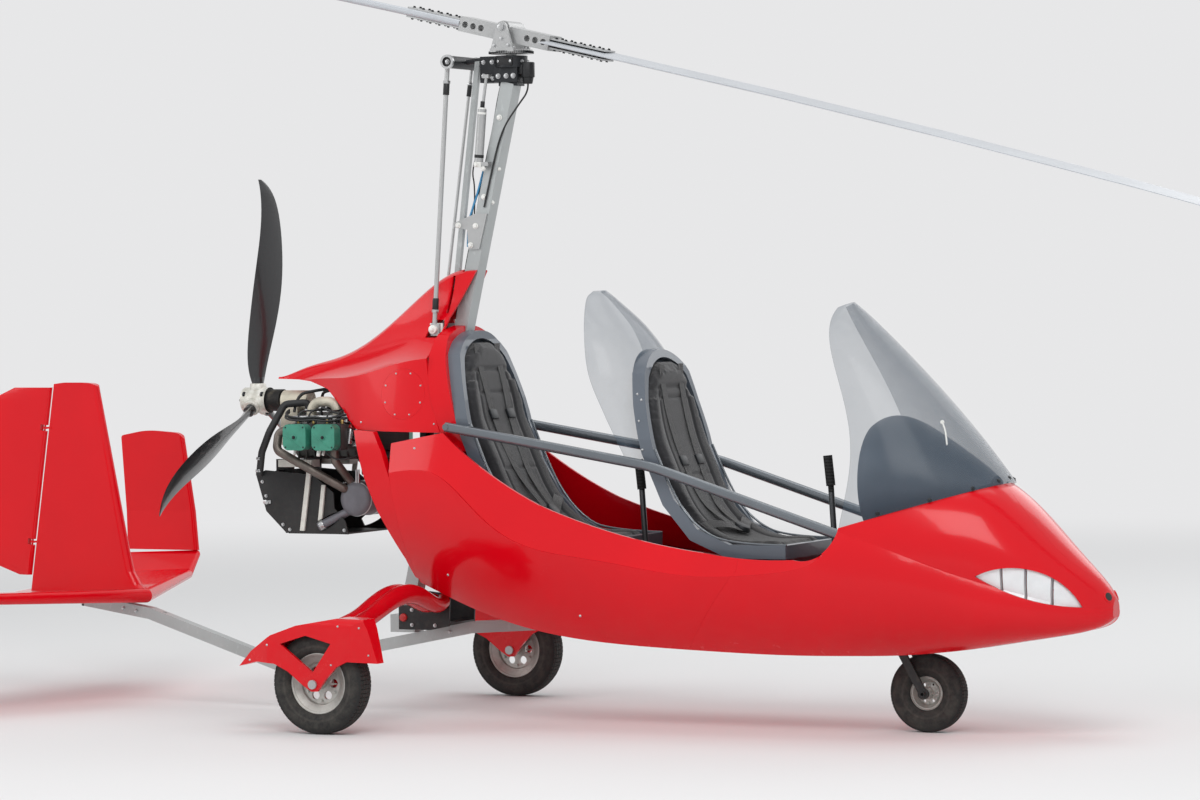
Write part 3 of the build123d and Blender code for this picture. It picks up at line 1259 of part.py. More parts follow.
    tubes = []
    for side in (-1.0, 1.0):
        for z in (1012.0, 1140.0):
            rear_end = (ENGINE_FRONT_X + SEAT_GAP, side * 120.0, z)
            tubes.append(rod(rear_end, (mast_rear_x(z) - 16.0, side * 24.0, z), 13.0))
    ring = block(ENGINE_FRONT_X + SEAT_GAP, ENGINE_FRONT_X + 10.0, -140.0, 140.0, 1000.0, 1152.0)
    behind = block(ENGINE_FRONT_X - 60.0, ENGINE_FRONT_X + SEAT_GAP, -200.0, 200.0, 900.0, 1250.0)
    front = mast_rear_x(1000.0) - 12.0
    shoe = block(front - 26.0, front, -40.0, 40.0, 998.0, 1154.0)
    mount = ring + shoe
    for tube in tubes:
        mount = mount + tube
    mast_room = mast_sleeve(200.0, 1700.0, SEAT_GAP)
    bridge = block(front - 10.0, front + 40.0, -20.0, 20.0, 1060.0, 1090.0)
    save("engine_mount", largest(mount + bridge - mast_room - behind))


def blade_section(radius, chord, pitch, sweep, thick):
    """A two-arc propeller section, square to a blade that points up."""
    p = math.radians(pitch)
    place = Plane(origin=(PROP_X, 0, PROP_Z + radius), x_dir=(math.sin(p), math.cos(p), 0), z_dir=(0, 0, 1))
    a = (sweep - chord / 2, 0)
    b = (sweep + chord / 2, 0)
    top = ThreePointArc(a, (sweep, thick / 2), b)
    bottom = ThreePointArc(b, (sweep, -thick / 2), a)
    return Wire([top.edge(), bottom.edge()]).moved(place.location)


def make_propeller():
    """Hub on its shaft, and three twisted blades."""
    back = PROP_X - PROP_HUB_LENGTH / 2
    front = PROP_X + PROP_HUB_LENGTH / 2
    hub = rod((back, 0, PROP_Z), (front, 0, PROP_Z), PROP_HUB_R)
    hub = hub + rod((front - 1.0, 0, PROP_Z), (PROP_FLANGE_X[1], 0, PROP_Z), PROP_FLANGE_R)
    hub = hub + rod((PROP_FLANGE_X[1] - 1.0, 0, PROP_Z), (-960.0, 0, PROP_Z), PROP_SHAFT_R)
    rows = [
        (60.0, 44.0, 45.0, 0.0, 30.0),
        (200.0, 98.0, 37.0, 6.0, 20.0),
        (380.0, 132.0, 27.0, 40.0, 14.0),
        (560.0, 129.0, 20.0, 69.0, 11.0),
        (720.0, 99.0, 16.0, 78.0, 8.0),
        (820.0, 64.0, 14.0, 58.0, 6.0),
        (PROP_R, 18.0, 14.0, 24.0, 4.0),
    ]
    blade = Solid.make_loft([blade_section(*row) for row in rows])
    blade = blade + rod((PROP_X, 0, PROP_Z + 30.0), (PROP_X, 0, PROP_Z + 90.0), PROP_ROOT_R)
    blades = []
    for i in range(PROP_BLADES):
        angle = 360.0 * i / PROP_BLADES
        turn = Pos(PROP_X, 0, PROP_Z) * Rot(angle, 0, 0) * Pos(-PROP_X, 0, -PROP_Z)
        blades.append(turn * largest(blade))
        root = rod((PROP_X, 0, PROP_Z + 30.0 - SEAT_GAP), (PROP_X, 0, PROP_Z + 90.0), PROP_ROOT_R + SEAT_GAP)
        hub = hub - turn * root
    save("propeller_hub", largest(hub))
    save("propeller_blades", group(*blades))


STEPS = (
    make_hull,
    make_cockpit_structure,
    make_cowl,
    make_seats,
    make_controls,
    make_frame,
    make_rotor_head,
    make_rotor,
    make_main_gear,
    make_nose_gear,
    make_tail,
    make_engine,
    make_propeller,
)
for step in STEPS:
    step()
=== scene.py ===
"""Looks for a parked two-seat gyrocopter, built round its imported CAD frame."""

import logging
import math
from contextlib import contextmanager
from dataclasses import dataclass
from enum import Enum
from itertools import product
from typing import Iterable, Iterator, Optional, Sequence, Union

import bmesh
import bpy
from mathutils import Matrix, Vector

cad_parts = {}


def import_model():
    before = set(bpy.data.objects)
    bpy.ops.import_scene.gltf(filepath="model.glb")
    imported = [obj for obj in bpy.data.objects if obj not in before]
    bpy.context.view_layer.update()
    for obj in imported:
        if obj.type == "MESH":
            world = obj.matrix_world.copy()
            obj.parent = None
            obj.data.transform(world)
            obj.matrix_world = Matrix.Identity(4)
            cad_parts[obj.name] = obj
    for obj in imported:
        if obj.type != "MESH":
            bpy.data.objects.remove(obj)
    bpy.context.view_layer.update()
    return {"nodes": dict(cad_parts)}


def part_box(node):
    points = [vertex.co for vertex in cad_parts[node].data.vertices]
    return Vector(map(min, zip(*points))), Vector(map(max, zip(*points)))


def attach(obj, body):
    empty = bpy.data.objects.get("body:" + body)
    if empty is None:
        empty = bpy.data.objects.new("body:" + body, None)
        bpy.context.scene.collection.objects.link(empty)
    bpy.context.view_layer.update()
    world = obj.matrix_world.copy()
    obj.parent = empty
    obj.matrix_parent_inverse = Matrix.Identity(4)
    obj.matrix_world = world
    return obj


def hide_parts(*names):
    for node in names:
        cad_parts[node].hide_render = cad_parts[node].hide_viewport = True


LOG = logging.getLogger("gyrocopter")
Rgb = tuple[float, float, float]
Number = Union[float, "Signal"]
Spot = Sequence[float]
MM = 0.001
SIDES = (-1, 1)
UP = Vector((0, 0, 1))
BACK = Vector((-1, 0, 0))
RIGHT = Vector((0, -1, 0))


def tint(red: int, green: int, blue: int) -> Rgb:
    """Returns a linear colour for an 8-bit screen colour."""
    levels = [c / 255 for c in (red, green, blue)]
    return tuple(c / 12.92 if c <= 0.04045 else ((c + 0.055) / 1.055) ** 2.4 for c in levels)


DUST = tint(150, 138, 118)


class Signal:
    """One shader socket; arithmetic on it adds Math nodes."""

    def __init__(self, shader: "Shader", socket: bpy.types.NodeSocket) -> None:
        """Keeps the socket and the shader it belongs to."""
        self.shader = shader
        self.socket = socket

    def __add__(self, other: Number) -> "Signal":
        """Sum."""
        return self.shader.maths("ADD", self, other)

    __radd__ = __add__

    def __sub__(self, other: Number) -> "Signal":
        """Difference."""
        return self.shader.maths("SUBTRACT", self, other)

    def __rsub__(self, other: Number) -> "Signal":
        """Difference from a number."""
        return self.shader.maths("SUBTRACT", other, self)

    def __mul__(self, other: Number) -> "Signal":
        """Product."""
        return self.shader.maths("MULTIPLY", self, other)

    def __abs__(self) -> "Signal":
        """Absolute value."""
        return self.shader.maths("ABSOLUTE", self)

    def hypot(self, other: "Signal") -> "Signal":
        """Length of the two values taken as a vector."""
        return self.shader.maths("SQRT", self * self + other * other)

    def above(self, limit: Number) -> "Signal":
        """1 where the value is above the limit, else 0."""
        return self.shader.maths("GREATER_THAN", self, limit)

    def wave(self, spacing: float) -> "Signal":
        """A sine from -1 to 1 that repeats at the spacing."""
        return self.shader.maths("SINE", self * (2 * math.pi / spacing))

    def step(self, low: float, high: float) -> "Signal":
        """Adds a smooth rise, or a fall where low is the larger.

        Args:
            low: The value that gives 0.
            high: The value that gives 1.

        Returns:
            The result, from 0 to 1.
        """
        return self.shader.node(
            "ShaderNodeMapRange",
            {"interpolation_type": "SMOOTHSTEP"},
            {"Value": self, "From Min": low, "From Max": high},
        )


class Shader:
    """One material under construction."""

    def __init__(self, name: str) -> None:
        """Makes the material with a Principled shader on its output.

        Args:
            name: The material's name.
        """
        self.material = bpy.data.materials.new(name)
        self.material.use_nodes = True
        self.tree = self.material.node_tree
        self.tree.nodes.clear()
        self.surface = self.node("ShaderNodeBsdfPrincipled")
        self.node("ShaderNodeOutputMaterial", {}, {"Surface": self.surface})
        self._axes: dict[str, Signal] = {}

    def node(self, kind: str, settings: Optional[dict] = None, sockets: Optional[dict] = None,
             output: Union[int, str] = 0) -> Optional[Signal]:
        """Adds a node.

        Args:
            kind: The node's type.
            settings: Attributes set first; "stops" is a ramp's (place, colour) list.
            sockets: Values or signals for its input sockets.
            output: Which output is returned.

        Returns:
            The chosen output, or None where the node has none.
        """
        made = self.tree.nodes.new(kind)
        for key, value in (settings or {}).items():
            if key == "stops":
                ramp = made.color_ramp.elements
                while len(ramp) < len(value):
                    ramp.new(1.0)
                for element, (place, colour) in zip(ramp, value):
                    element.position = place
                    element.color = (*colour, 1.0)
            else:
                setattr(made, key, value)
        for key, value in (sockets or {}).items():
            self.feed(made.inputs[key], value)
        return Signal(self, made.outputs[output]) if len(made.outputs) else None

    def feed(self, socket: bpy.types.NodeSocket, value: object) -> None:
        """Links a signal to a socket, or sets its value.

        Args:
            socket: The input socket.
            value: A signal, a number, or a colour without its alpha.
        """
        if isinstance(value, Signal):
            self.tree.links.new(value.socket, socket)
        elif isinstance(value, tuple) and socket.type == "RGBA":
            socket.default_value = (*value, 1.0)
        else:
            socket.default_value = value

    def maths(self, operation: str, first: Number, second: Number = 0.0) -> Signal:
        """Adds a Math node on one or two values."""
        return self.node("ShaderNodeMath", {"operation": operation}, {0: first, 1: second})

    def set(self, **values: object) -> None:
        """Sets the Principled shader's sockets, with underscores for spaces in their names."""
        for key, value in values.items():
            self.feed(self.surface.socket.node.inputs[key.replace("_", " ")], value)

    def axis(self, letter: str) -> Signal:
        """Returns an object coordinate.

        Args:
            letter: X, Y or Z.

        Returns:
            The coordinate in metres.
        """
        if letter not in self._axes:
            place = self.node("ShaderNodeTexCoord", output="Object")
            for key in "XYZ":
                self._axes[key] = self.node("ShaderNodeSeparateXYZ", {}, {0: place}, key)
        return self._axes[letter]

    def noise(self, scale: float, detail: float = 3.0, roughness: float = 0.55,
              stretch: Rgb = (1.0, 1.0, 1.0)) -> Signal:
        """Makes noise over the object.

        Args:
            scale: How many cells there are in a metre.
            detail: Layers of finer noise.
            roughness: How strong the finer layers are.
            stretch: A scale for each axis.

        Returns:
            The noise, from 0 to 1.
        """
        place = self.node("ShaderNodeTexCoord", output="Object")
        if stretch != (1.0, 1.0, 1.0):
            place = self.node("ShaderNodeMapping", {}, {"Vector": place, "Scale": stretch})
        return self.node("ShaderNodeTexNoise", {},
                         {"Vector": place, "Scale": scale, "Detail": detail, "Roughness": roughness})

    def cells(self, scale: float) -> Signal:
        """Returns the distance to the nearest point of a cell pattern."""
        place = self.node("ShaderNodeTexCoord", output="Object")
        return self.node("ShaderNodeTexVoronoi", {}, {"Vector": place, "Scale": scale})

    def mix(self, first: object, second: object, share: Number) -> Signal:
        """Mixes two colours."""
        return self.node("ShaderNodeMix", {"data_type": "RGBA"}, {0: share, 6: first, 7: second}, 2)

    def bump(self, height: Signal, distance: float, strength: float = 1.0) -> Signal:
        """Returns a normal bent by a height."""
        return self.node("ShaderNodeBump", {}, {"Height": height, "Distance": distance, "Strength": strength})

    def upness(self) -> Signal:
        """Returns how far the surface faces up, from -1 to 1."""
        facing = self.node("ShaderNodeNewGeometry", output="Normal")
        return self.node("ShaderNodeSeparateXYZ", {}, {0: facing}, "Z")


@dataclass(frozen=True)
class Coating:
    """A paint, metal, plastic or rubber: colour, gloss, grain, scratches and dust."""

    name: str
    colour: Rgb
    roughness: float
    metallic: float = 0.0
    coat: float = 0.0
    variation: float = 0.06
    patch_scale: float = 4.0
    gloss_change: float = 0.1
    grain: float = 0.0
    grain_scale: float = 400.0
    stretch: Rgb = (1.0, 1.0, 1.0)
    dust: float = 0.0
    dust_top: float = 0.8
    scratches: float = 0.0

    def build(self) -> bpy.types.Material:
        """Makes the material.

        Returns:
            The material.
        """
        s = Shader(self.name)
        patch = s.noise(self.patch_scale, 4.0, 0.6)
        deep = tuple(c * (1 - self.variation) for c in self.colour)
        pale = tuple(min(1.0, c * (1 + self.variation) + 0.02 * self.variation) for c in self.colour)
        colour = s.mix(deep, pale, patch.step(0.3, 0.7))
        rough = patch * self.gloss_change + (self.roughness - 0.5 * self.gloss_change)
        if self.scratches:
            streak = s.noise(60.0, 2.0, 0.5, (1.0, 6.0, 0.5)).step(0.62, 0.7)
            rough = rough + streak * (0.25 * self.scratches)
            colour = s.mix(colour, tuple(min(1.0, c * 1.3 + 0.03) for c in self.colour), streak * self.scratches)
        if self.dust:
            speck = s.noise(45.0, 5.0, 0.7).step(0.45, 0.75)
            low = s.axis("Z").step(self.dust_top, 0.0)
            share = (speck * 0.55 + patch * 0.45) * low * self.dust
            colour = s.mix(colour, DUST, share)
            rough = rough + share * 0.4
        s.set(Base_Color=colour, Roughness=rough, Metallic=self.metallic, Coat_Weight=self.coat, Coat_Roughness=0.06)
        if self.grain:
            s.set(Normal=s.bump(s.noise(self.grain_scale, 3.0, 0.6, self.stretch), self.grain))
        return s.material


@dataclass(frozen=True)
class Gelcoat:
    """The shell's thick glossy colour: slight ripple, rain spots, road film low down."""

    name: str
    colour: Rgb
    film_top: float = 0.55

    def build(self) -> bpy.types.Material:
        """Makes the material.

        Returns:
            The material.
        """
        s = Shader(self.name)
        wide = s.noise(2.2, 3.0, 0.5)
        spots = s.cells(85.0).step(0.16, 0.1) * s.noise(7.0, 2.0, 0.5).step(0.55, 0.72)
        film = s.noise(16.0, 5.0, 0.65).step(0.35, 0.8) * s.axis("Z").step(self.film_top, 0.15)
        deep = tuple(c * 0.93 for c in self.colour)
        colour = s.mix(deep, self.colour, wide.step(0.3, 0.7))
        colour = s.mix(colour, DUST, film * 0.05 + spots * 0.04)
        rough = 0.16 + wide * 0.06 + film * 0.2 + spots * 0.12
        s.set(Base_Color=colour, Roughness=rough, Specular_IOR_Level=0.22, Coat_Weight=0.35, Coat_Roughness=0.04,
              Coat_IOR=1.4)
        s.set(Normal=s.bump(s.noise(26.0, 2.0, 0.5), 0.0006, 0.35))
        return s.material


@dataclass(frozen=True)
class Cloth:
    """Woven seat fabric or webbing."""

    name: str
    colour: Rgb
    thread: float = 0.0035
    depth: float = 0.0005

    def build(self) -> bpy.types.Material:
        """Makes the material.

        Returns:
            The material.
        """
        s = Shader(self.name)
        along = s.axis("X") - s.axis("Z")
        weave = s.axis("Y").wave(self.thread) * along.wave(self.thread)
        wear = s.noise(7.0, 5.0, 0.65)
        fuzz = s.noise(650.0, 2.0, 0.6)
        pale = tuple(c * 1.7 + 0.01 for c in self.colour)
        colour = s.mix(self.colour, pale, wear.step(0.4, 0.8) * 0.6 + weave * 0.12 + fuzz * 0.2)
        colour = s.mix(colour, DUST, s.upness().step(0.5, 1.0) * wear * 0.06)
        s.set(Base_Color=colour, Roughness=0.86 + fuzz * 0.1, Sheen_Weight=0.35, Sheen_Roughness=0.5)
        s.set(Normal=s.bump(weave * 0.5 + fuzz * 0.5, self.depth))
        return s.material


@dataclass(frozen=True)
class Screen:
    """Clear tinted sheet with reflections that grow towards its edges."""

    name: str
    colour: Rgb
    body: float

    def build(self) -> bpy.types.Material:
        """Makes the material.

        Returns:
            The material.
        """
        s = Shader(self.name)
        facing = s.node("ShaderNodeLayerWeight", {}, {"Blend": 0.35}, "Facing")
        film = s.noise(9.0, 5.0, 0.7).step(0.4, 0.9)
        s.set(Base_Color=s.mix(self.colour, tint(150, 160, 165), film * 0.12), Roughness=film * 0.06 + 0.15)
        s.set(Alpha=facing * 0.26 + film * 0.04 + self.body, IOR=1.4)
        return s.material


@dataclass(frozen=True)
class Tyre:
    """Dusty rubber whose sidewall is greyer than its tread, round an axle along Y."""

    name: str
    radius: float
    rim: float

    def build(self, centre: Vector) -> bpy.types.Material:
        """Makes the material.

        Args:
            centre: The wheel's centre in the row frame.

        Returns:
            The material.
        """
        s = Shader(self.name)
        out = (s.axis("X") - centre.x).hypot(s.axis("Z") - centre.z)
        dirt = s.noise(30.0, 5.0, 0.7)
        wall = out.step(self.radius * 0.99, self.radius * 0.86) * dirt.step(0.25, 0.75)
        scuff = out.step(self.radius * 0.95, self.radius) * dirt
        ring = abs(out - (self.rim + 0.35 * (self.radius - self.rim))).step(0.006, 0.002)
        colour = s.mix(tint(22, 22, 23), tint(86, 82, 76), wall * 0.5 + scuff * 0.35 + ring * 0.15)
        s.set(Base_Color=colour, Roughness=0.72 + dirt * 0.2)
        s.set(Normal=s.bump(s.noise(260.0, 3.0, 0.6), 0.0006))
        return s.material


@dataclass(frozen=True)
class Lacquer:
    """Clear-lacquered dark blade that is paler towards its tips, round a hub."""

    name: str

    def build(self, centre: Vector) -> bpy.types.Material:
        """Makes the material.

        Args:
            centre: The hub's centre in the row frame.

        Returns:
            The material.
        """
        s = Shader(self.name)
        y, z = s.axis("Y") - centre.y, s.axis("Z") - centre.z
        out = y.hypot(z)
        grain = s.noise(220.0, 3.0, 0.6)
        weave = y.wave(0.008) * z.wave(0.008)
        tip = out.step(0.80, 0.845)
        colour = s.mix(tint(17, 18, 20), tint(38, 41, 45), grain * 0.5 + weave * 0.2)
        colour = s.mix(colour, tint(58, 60, 62), tip * 0.5)
        s.set(Base_Color=colour, Roughness=0.24 + grain * 0.12, Coat_Weight=0.6, Coat_Roughness=0.08)
        s.set(Normal=s.bump(grain, 0.0002))
        return s.material


@dataclass(frozen=True)
class CoreFins:
    """A radiator core: close folded fins between flat tubes, seen along X, with painted shade in the grooves between
    fins and between tube rows.
    """

    name: str

    def build(self) -> bpy.types.Material:
        """Makes the material.

        Returns:
            The material.
        """
        s = Shader(self.name)
        fins = s.axis("Y").wave(0.006)
        rows = abs(s.axis("Z").wave(0.022)).step(0.05, 0.35)
        height = fins * 0.5 * rows + rows * 0.5
        grime = s.noise(24.0, 5.0, 0.7)
        # The colour darkens where the relief is low: painted shade in the grooves between fins and tube rows, on top of
        # the bump.
        colour = s.mix(tint(12, 12, 13), tint(52, 53, 54), height.step(0.2, 1.0) * 0.6)
        colour = s.mix(colour, DUST, grime.step(0.5, 0.9) * 0.2)
        s.set(Base_Color=colour, Roughness=0.55 + grime * 0.2, Metallic=0.25)
        s.set(Normal=s.bump(height, 0.0015))
        return s.material


@dataclass(frozen=True)
class StickAndGrip:
    """Steel rods with moulded grips above a height and bare pads low down."""

    name: str
    grip_z: float = 0.875

    def build(self) -> bpy.types.Material:
        """Makes the material.

        Returns:
            The material.
        """
        s = Shader(self.name)
        grip = s.axis("Z").above(self.grip_z)
        fine = s.noise(300.0, 3.0, 0.6)
        ribs = s.axis("Z").wave(0.012)
        steel = s.mix(tint(70, 72, 75), tint(104, 106, 108), fine)
        s.set(Base_Color=s.mix(steel, tint(18, 18, 19), grip), Roughness=0.35 + grip * 0.4 + fine * 0.08)
        s.set(Metallic=0.8 - grip * 0.8, Normal=s.bump(ribs * grip + fine * 0.2, 0.0008))
        return s.material


@dataclass(frozen=True)
class ClampAndFlange:
    """A pale cast clamp with a black flange in front of it."""

    name: str
    edge: float = 0.053

    def build(self, centre: Vector) -> bpy.types.Material:
        """Makes the material.

        Args:
            centre: The clamp's centre in the row frame.

        Returns:
            The material.
        """
        s = Shader(self.name)
        black = s.axis("X").above(centre.x + self.edge)
        worn = s.noise(26.0, 5.0, 0.65)
        fine = s.noise(240.0, 3.0, 0.6)
        pale = s.mix(tint(196, 194, 184), tint(232, 231, 224), worn.step(0.35, 0.65))
        dark = s.mix(tint(24, 23, 22), tint(74, 68, 58), worn.step(0.5, 0.75))
        s.set(Base_Color=s.mix(pale, dark, black), Roughness=0.4 + fine * 0.12 + black * 0.15, Metallic=0.3)
        s.set(Normal=s.bump(fine, 0.0005))
        return s.material


class Finish(Enum):
    """Every finish on the craft."""

    RED = Gelcoat("red_gelcoat", tint(222, 2, 22))
    RED_LEG = Gelcoat("red_leg_paint", tint(204, 4, 22), 0.6)
    SLATE = Coating("slate_seat_shell", tint(92, 100, 110), 0.34, coat=0.3, grain=0.0002, grain_scale=200.0, dust=0.15)
    FABRIC = Cloth("black_seat_fabric", tint(30, 30, 33))
    WEBBING = Cloth("black_webbing", tint(24, 24, 26), 0.0026, 0.0007)
    TUBE = Coating("grey_frame_tube", tint(176, 180, 180), 0.36, metallic=0.55, grain=0.0002, grain_scale=120.0,
                   stretch=(1.0, 1.0, 0.1), scratches=0.3, dust=0.25, dust_top=0.6)
    BAR = Coating("side_bar_paint", tint(104, 110, 116), 0.2, metallic=0.45, coat=0.6, grain=0.0001, scratches=0.15)
    PANEL = Coating("dark_panel", tint(46, 48, 51), 0.6, grain=0.0005, grain_scale=240.0, dust=0.2)
    POD = Coating("dash_pod_plastic", tint(92, 98, 108), 0.5, variation=0.1, grain=0.0001, grain_scale=120.0)
    DARK_STEEL = Coating("dark_steel", tint(40, 42, 45), 0.42, metallic=0.5, grain=0.0003, scratches=0.3, dust=0.2)
    BRIGHT = Coating("bright_steel", tint(192, 193, 194), 0.28, metallic=0.95, grain=0.0002, scratches=0.2)
    ALLOY = Coating("satin_alloy", tint(178, 179, 179), 0.36, metallic=0.6, grain=0.0004, grain_scale=180.0)
    CAST = Coating("cast_alloy", tint(196, 190, 174), 0.52, metallic=0.45, variation=0.16, patch_scale=14.0,
                   grain=0.0012, grain_scale=220.0)
    CASE = Coating("engine_case", tint(92, 92, 90), 0.55, metallic=0.5, variation=0.3, patch_scale=11.0,
                   grain=0.0012, grain_scale=200.0)
    RIM = Coating("wheel_alloy", tint(184, 184, 180), 0.4, metallic=0.5, variation=0.14, patch_scale=22.0,
                  grain=0.0006, dust=0.5, dust_top=0.5)
    BLADE = Coating("rotor_blade_skin", tint(188, 192, 197), 0.36, metallic=0.2, variation=0.05, grain=0.0002,
                    grain_scale=90.0, stretch=(0.05, 1.0, 1.0), scratches=0.1)
    BRACE = Coating("white_brace", tint(214, 214, 206), 0.45, variation=0.12, patch_scale=25.0, grain=0.0003)
    COVER = Coating("green_cover", tint(58, 138, 116), 0.4, metallic=0.15, coat=0.25, variation=0.14,
                    patch_scale=18.0, grain=0.0009, grain_scale=170.0)
    EXHAUST = Coating("exhaust_steel", tint(112, 104, 98), 0.42, metallic=0.7, variation=0.3, patch_scale=9.0,
                      grain=0.0004, scratches=0.2)
    MUFFLER = Coating("muffler_steel", tint(112, 112, 118), 0.5, metallic=0.45, variation=0.12, patch_scale=12.0,
                      grain=0.0005, scratches=0.25)
    BLACK_METAL = Coating("black_metal", tint(30, 31, 33), 0.5, metallic=0.2, variation=0.2, grain=0.0005, dust=0.25,
                          dust_top=1.2)
    HOSE = Coating("hose_rubber", tint(34, 35, 36), 0.6, variation=0.2, grain=0.0008, grain_scale=300.0)
    BLUE_HOSE = Coating("blue_tube", tint(46, 130, 176), 0.3, coat=0.5, variation=0.12)
    RED_CAP = Coating("red_plastic", tint(176, 28, 26), 0.4, coat=0.3)
    LAMP = Coating("lamp_block", tint(246, 247, 248), 0.22, coat=0.8, variation=0.03, patch_scale=30.0)
    WHITE = Coating("white_plastic", tint(232, 232, 228), 0.35, coat=0.3, variation=0.05)
    BRASS = Coating("yellowed_fitting", tint(176, 150, 92), 0.38, metallic=0.8, variation=0.15)
    CLEAR = Screen("clear_lamp_cover", tint(196, 200, 204), 0.03)
    GLAZING = Screen("screen_tint", tint(78, 96, 112), 0.18)
    CORE = CoreFins("radiator_core")
    CONTROLS = StickAndGrip("control_rods")
    GAUGE = Coating("gauge_face", tint(16, 17, 18), 0.3, coat=0.8, variation=0.1, patch_scale=60.0)


class FinishBook:
    """Makes each finish's material once."""

    def __init__(self) -> None:
        """Starts with no materials."""
        self._made: dict[Finish, bpy.types.Material] = {}

    def get(self, finish: Union[Finish, bpy.types.Material]) -> bpy.types.Material:
        """Returns the material of a finish.

        Args:
            finish: The finish, or a material that is made already.

        Returns:
            The material.
        """
        if isinstance(finish, bpy.types.Material):
            return finish
        if finish not in self._made:
            self._made[finish] = finish.value.build()
        return self._made[finish]


@dataclass(frozen=True)
class Layout:
    """Turns the drawing's millimetres, counted from the teeter bolt, into the row frame's metres."""

    shift: float

    def at(self, spot: Spot) -> Vector:
        """Returns a point of the drawing in the row frame."""
        return Vector((MM * spot[0] + self.shift, MM * spot[1], MM * spot[2]))

    def back(self, place: Vector) -> Vector:
        """Returns a point of the row frame in the drawing."""
        return Vector((place.x - self.shift, place.y, place.z)) / MM


@dataclass(frozen=True)
class Part:
    """What a piece is called, its finish and material slot, the CAD nodes it stands for and what it rides on."""

    name: str
    finish: Union[Finish, bpy.types.Material]
    slot: str
    replaces: tuple[str, ...] = ()
    body: str = "airframe"
    # Edges sharper than this many degrees stay sharp
    angle: float = 38.0


def across(side: float) -> Vector:
    """Returns the direction out to one side."""
    return Vector((0, side, 0))


def mirror(side: float, *spots: Spot) -> list[Vector]:
    """Returns places given for the left side, or the same on the right where the side is -1."""
    return [Vector((x, side * y, z)) for x, y, z in spots]


def around(count: int, offset: float = 0.0) -> list[tuple[float, float, float]]:
    """Divides a full turn evenly.

    Args:
        count: How many steps there are.
        offset: Where the first one is, in steps.

    Returns:
        The angle of each step with its cosine and its sine.
    """
    turns = [2 * math.pi * (i + offset) / count for i in range(count)]
    return [(turn, math.cos(turn), math.sin(turn)) for turn in turns]


def smooth_point(points: Sequence[Vector], share: float) -> Vector:
    """Returns the place at a share of the way along a smooth line through points.

    Args:
        points: The line's points.
        share: From 0 at the first point to 1 at the last.

    Returns:
        The place.
    """
    spans = len(points) - 1
    at = min(max(share, 0.0), 1.0) * spans
    i = min(int(at), spans - 1)
    t = at - i
    b, c = points[i], points[i + 1]
    a = points[i - 1] if i else b * 2 - c
    d = points[i + 2] if i + 2 <= spans else c * 2 - b
    return 0.5 * (2 * b + (c - a) * t + (2 * a - 5 * b + 4 * c - d) * t * t + (3 * b - a - 3 * c + d) * t ** 3)


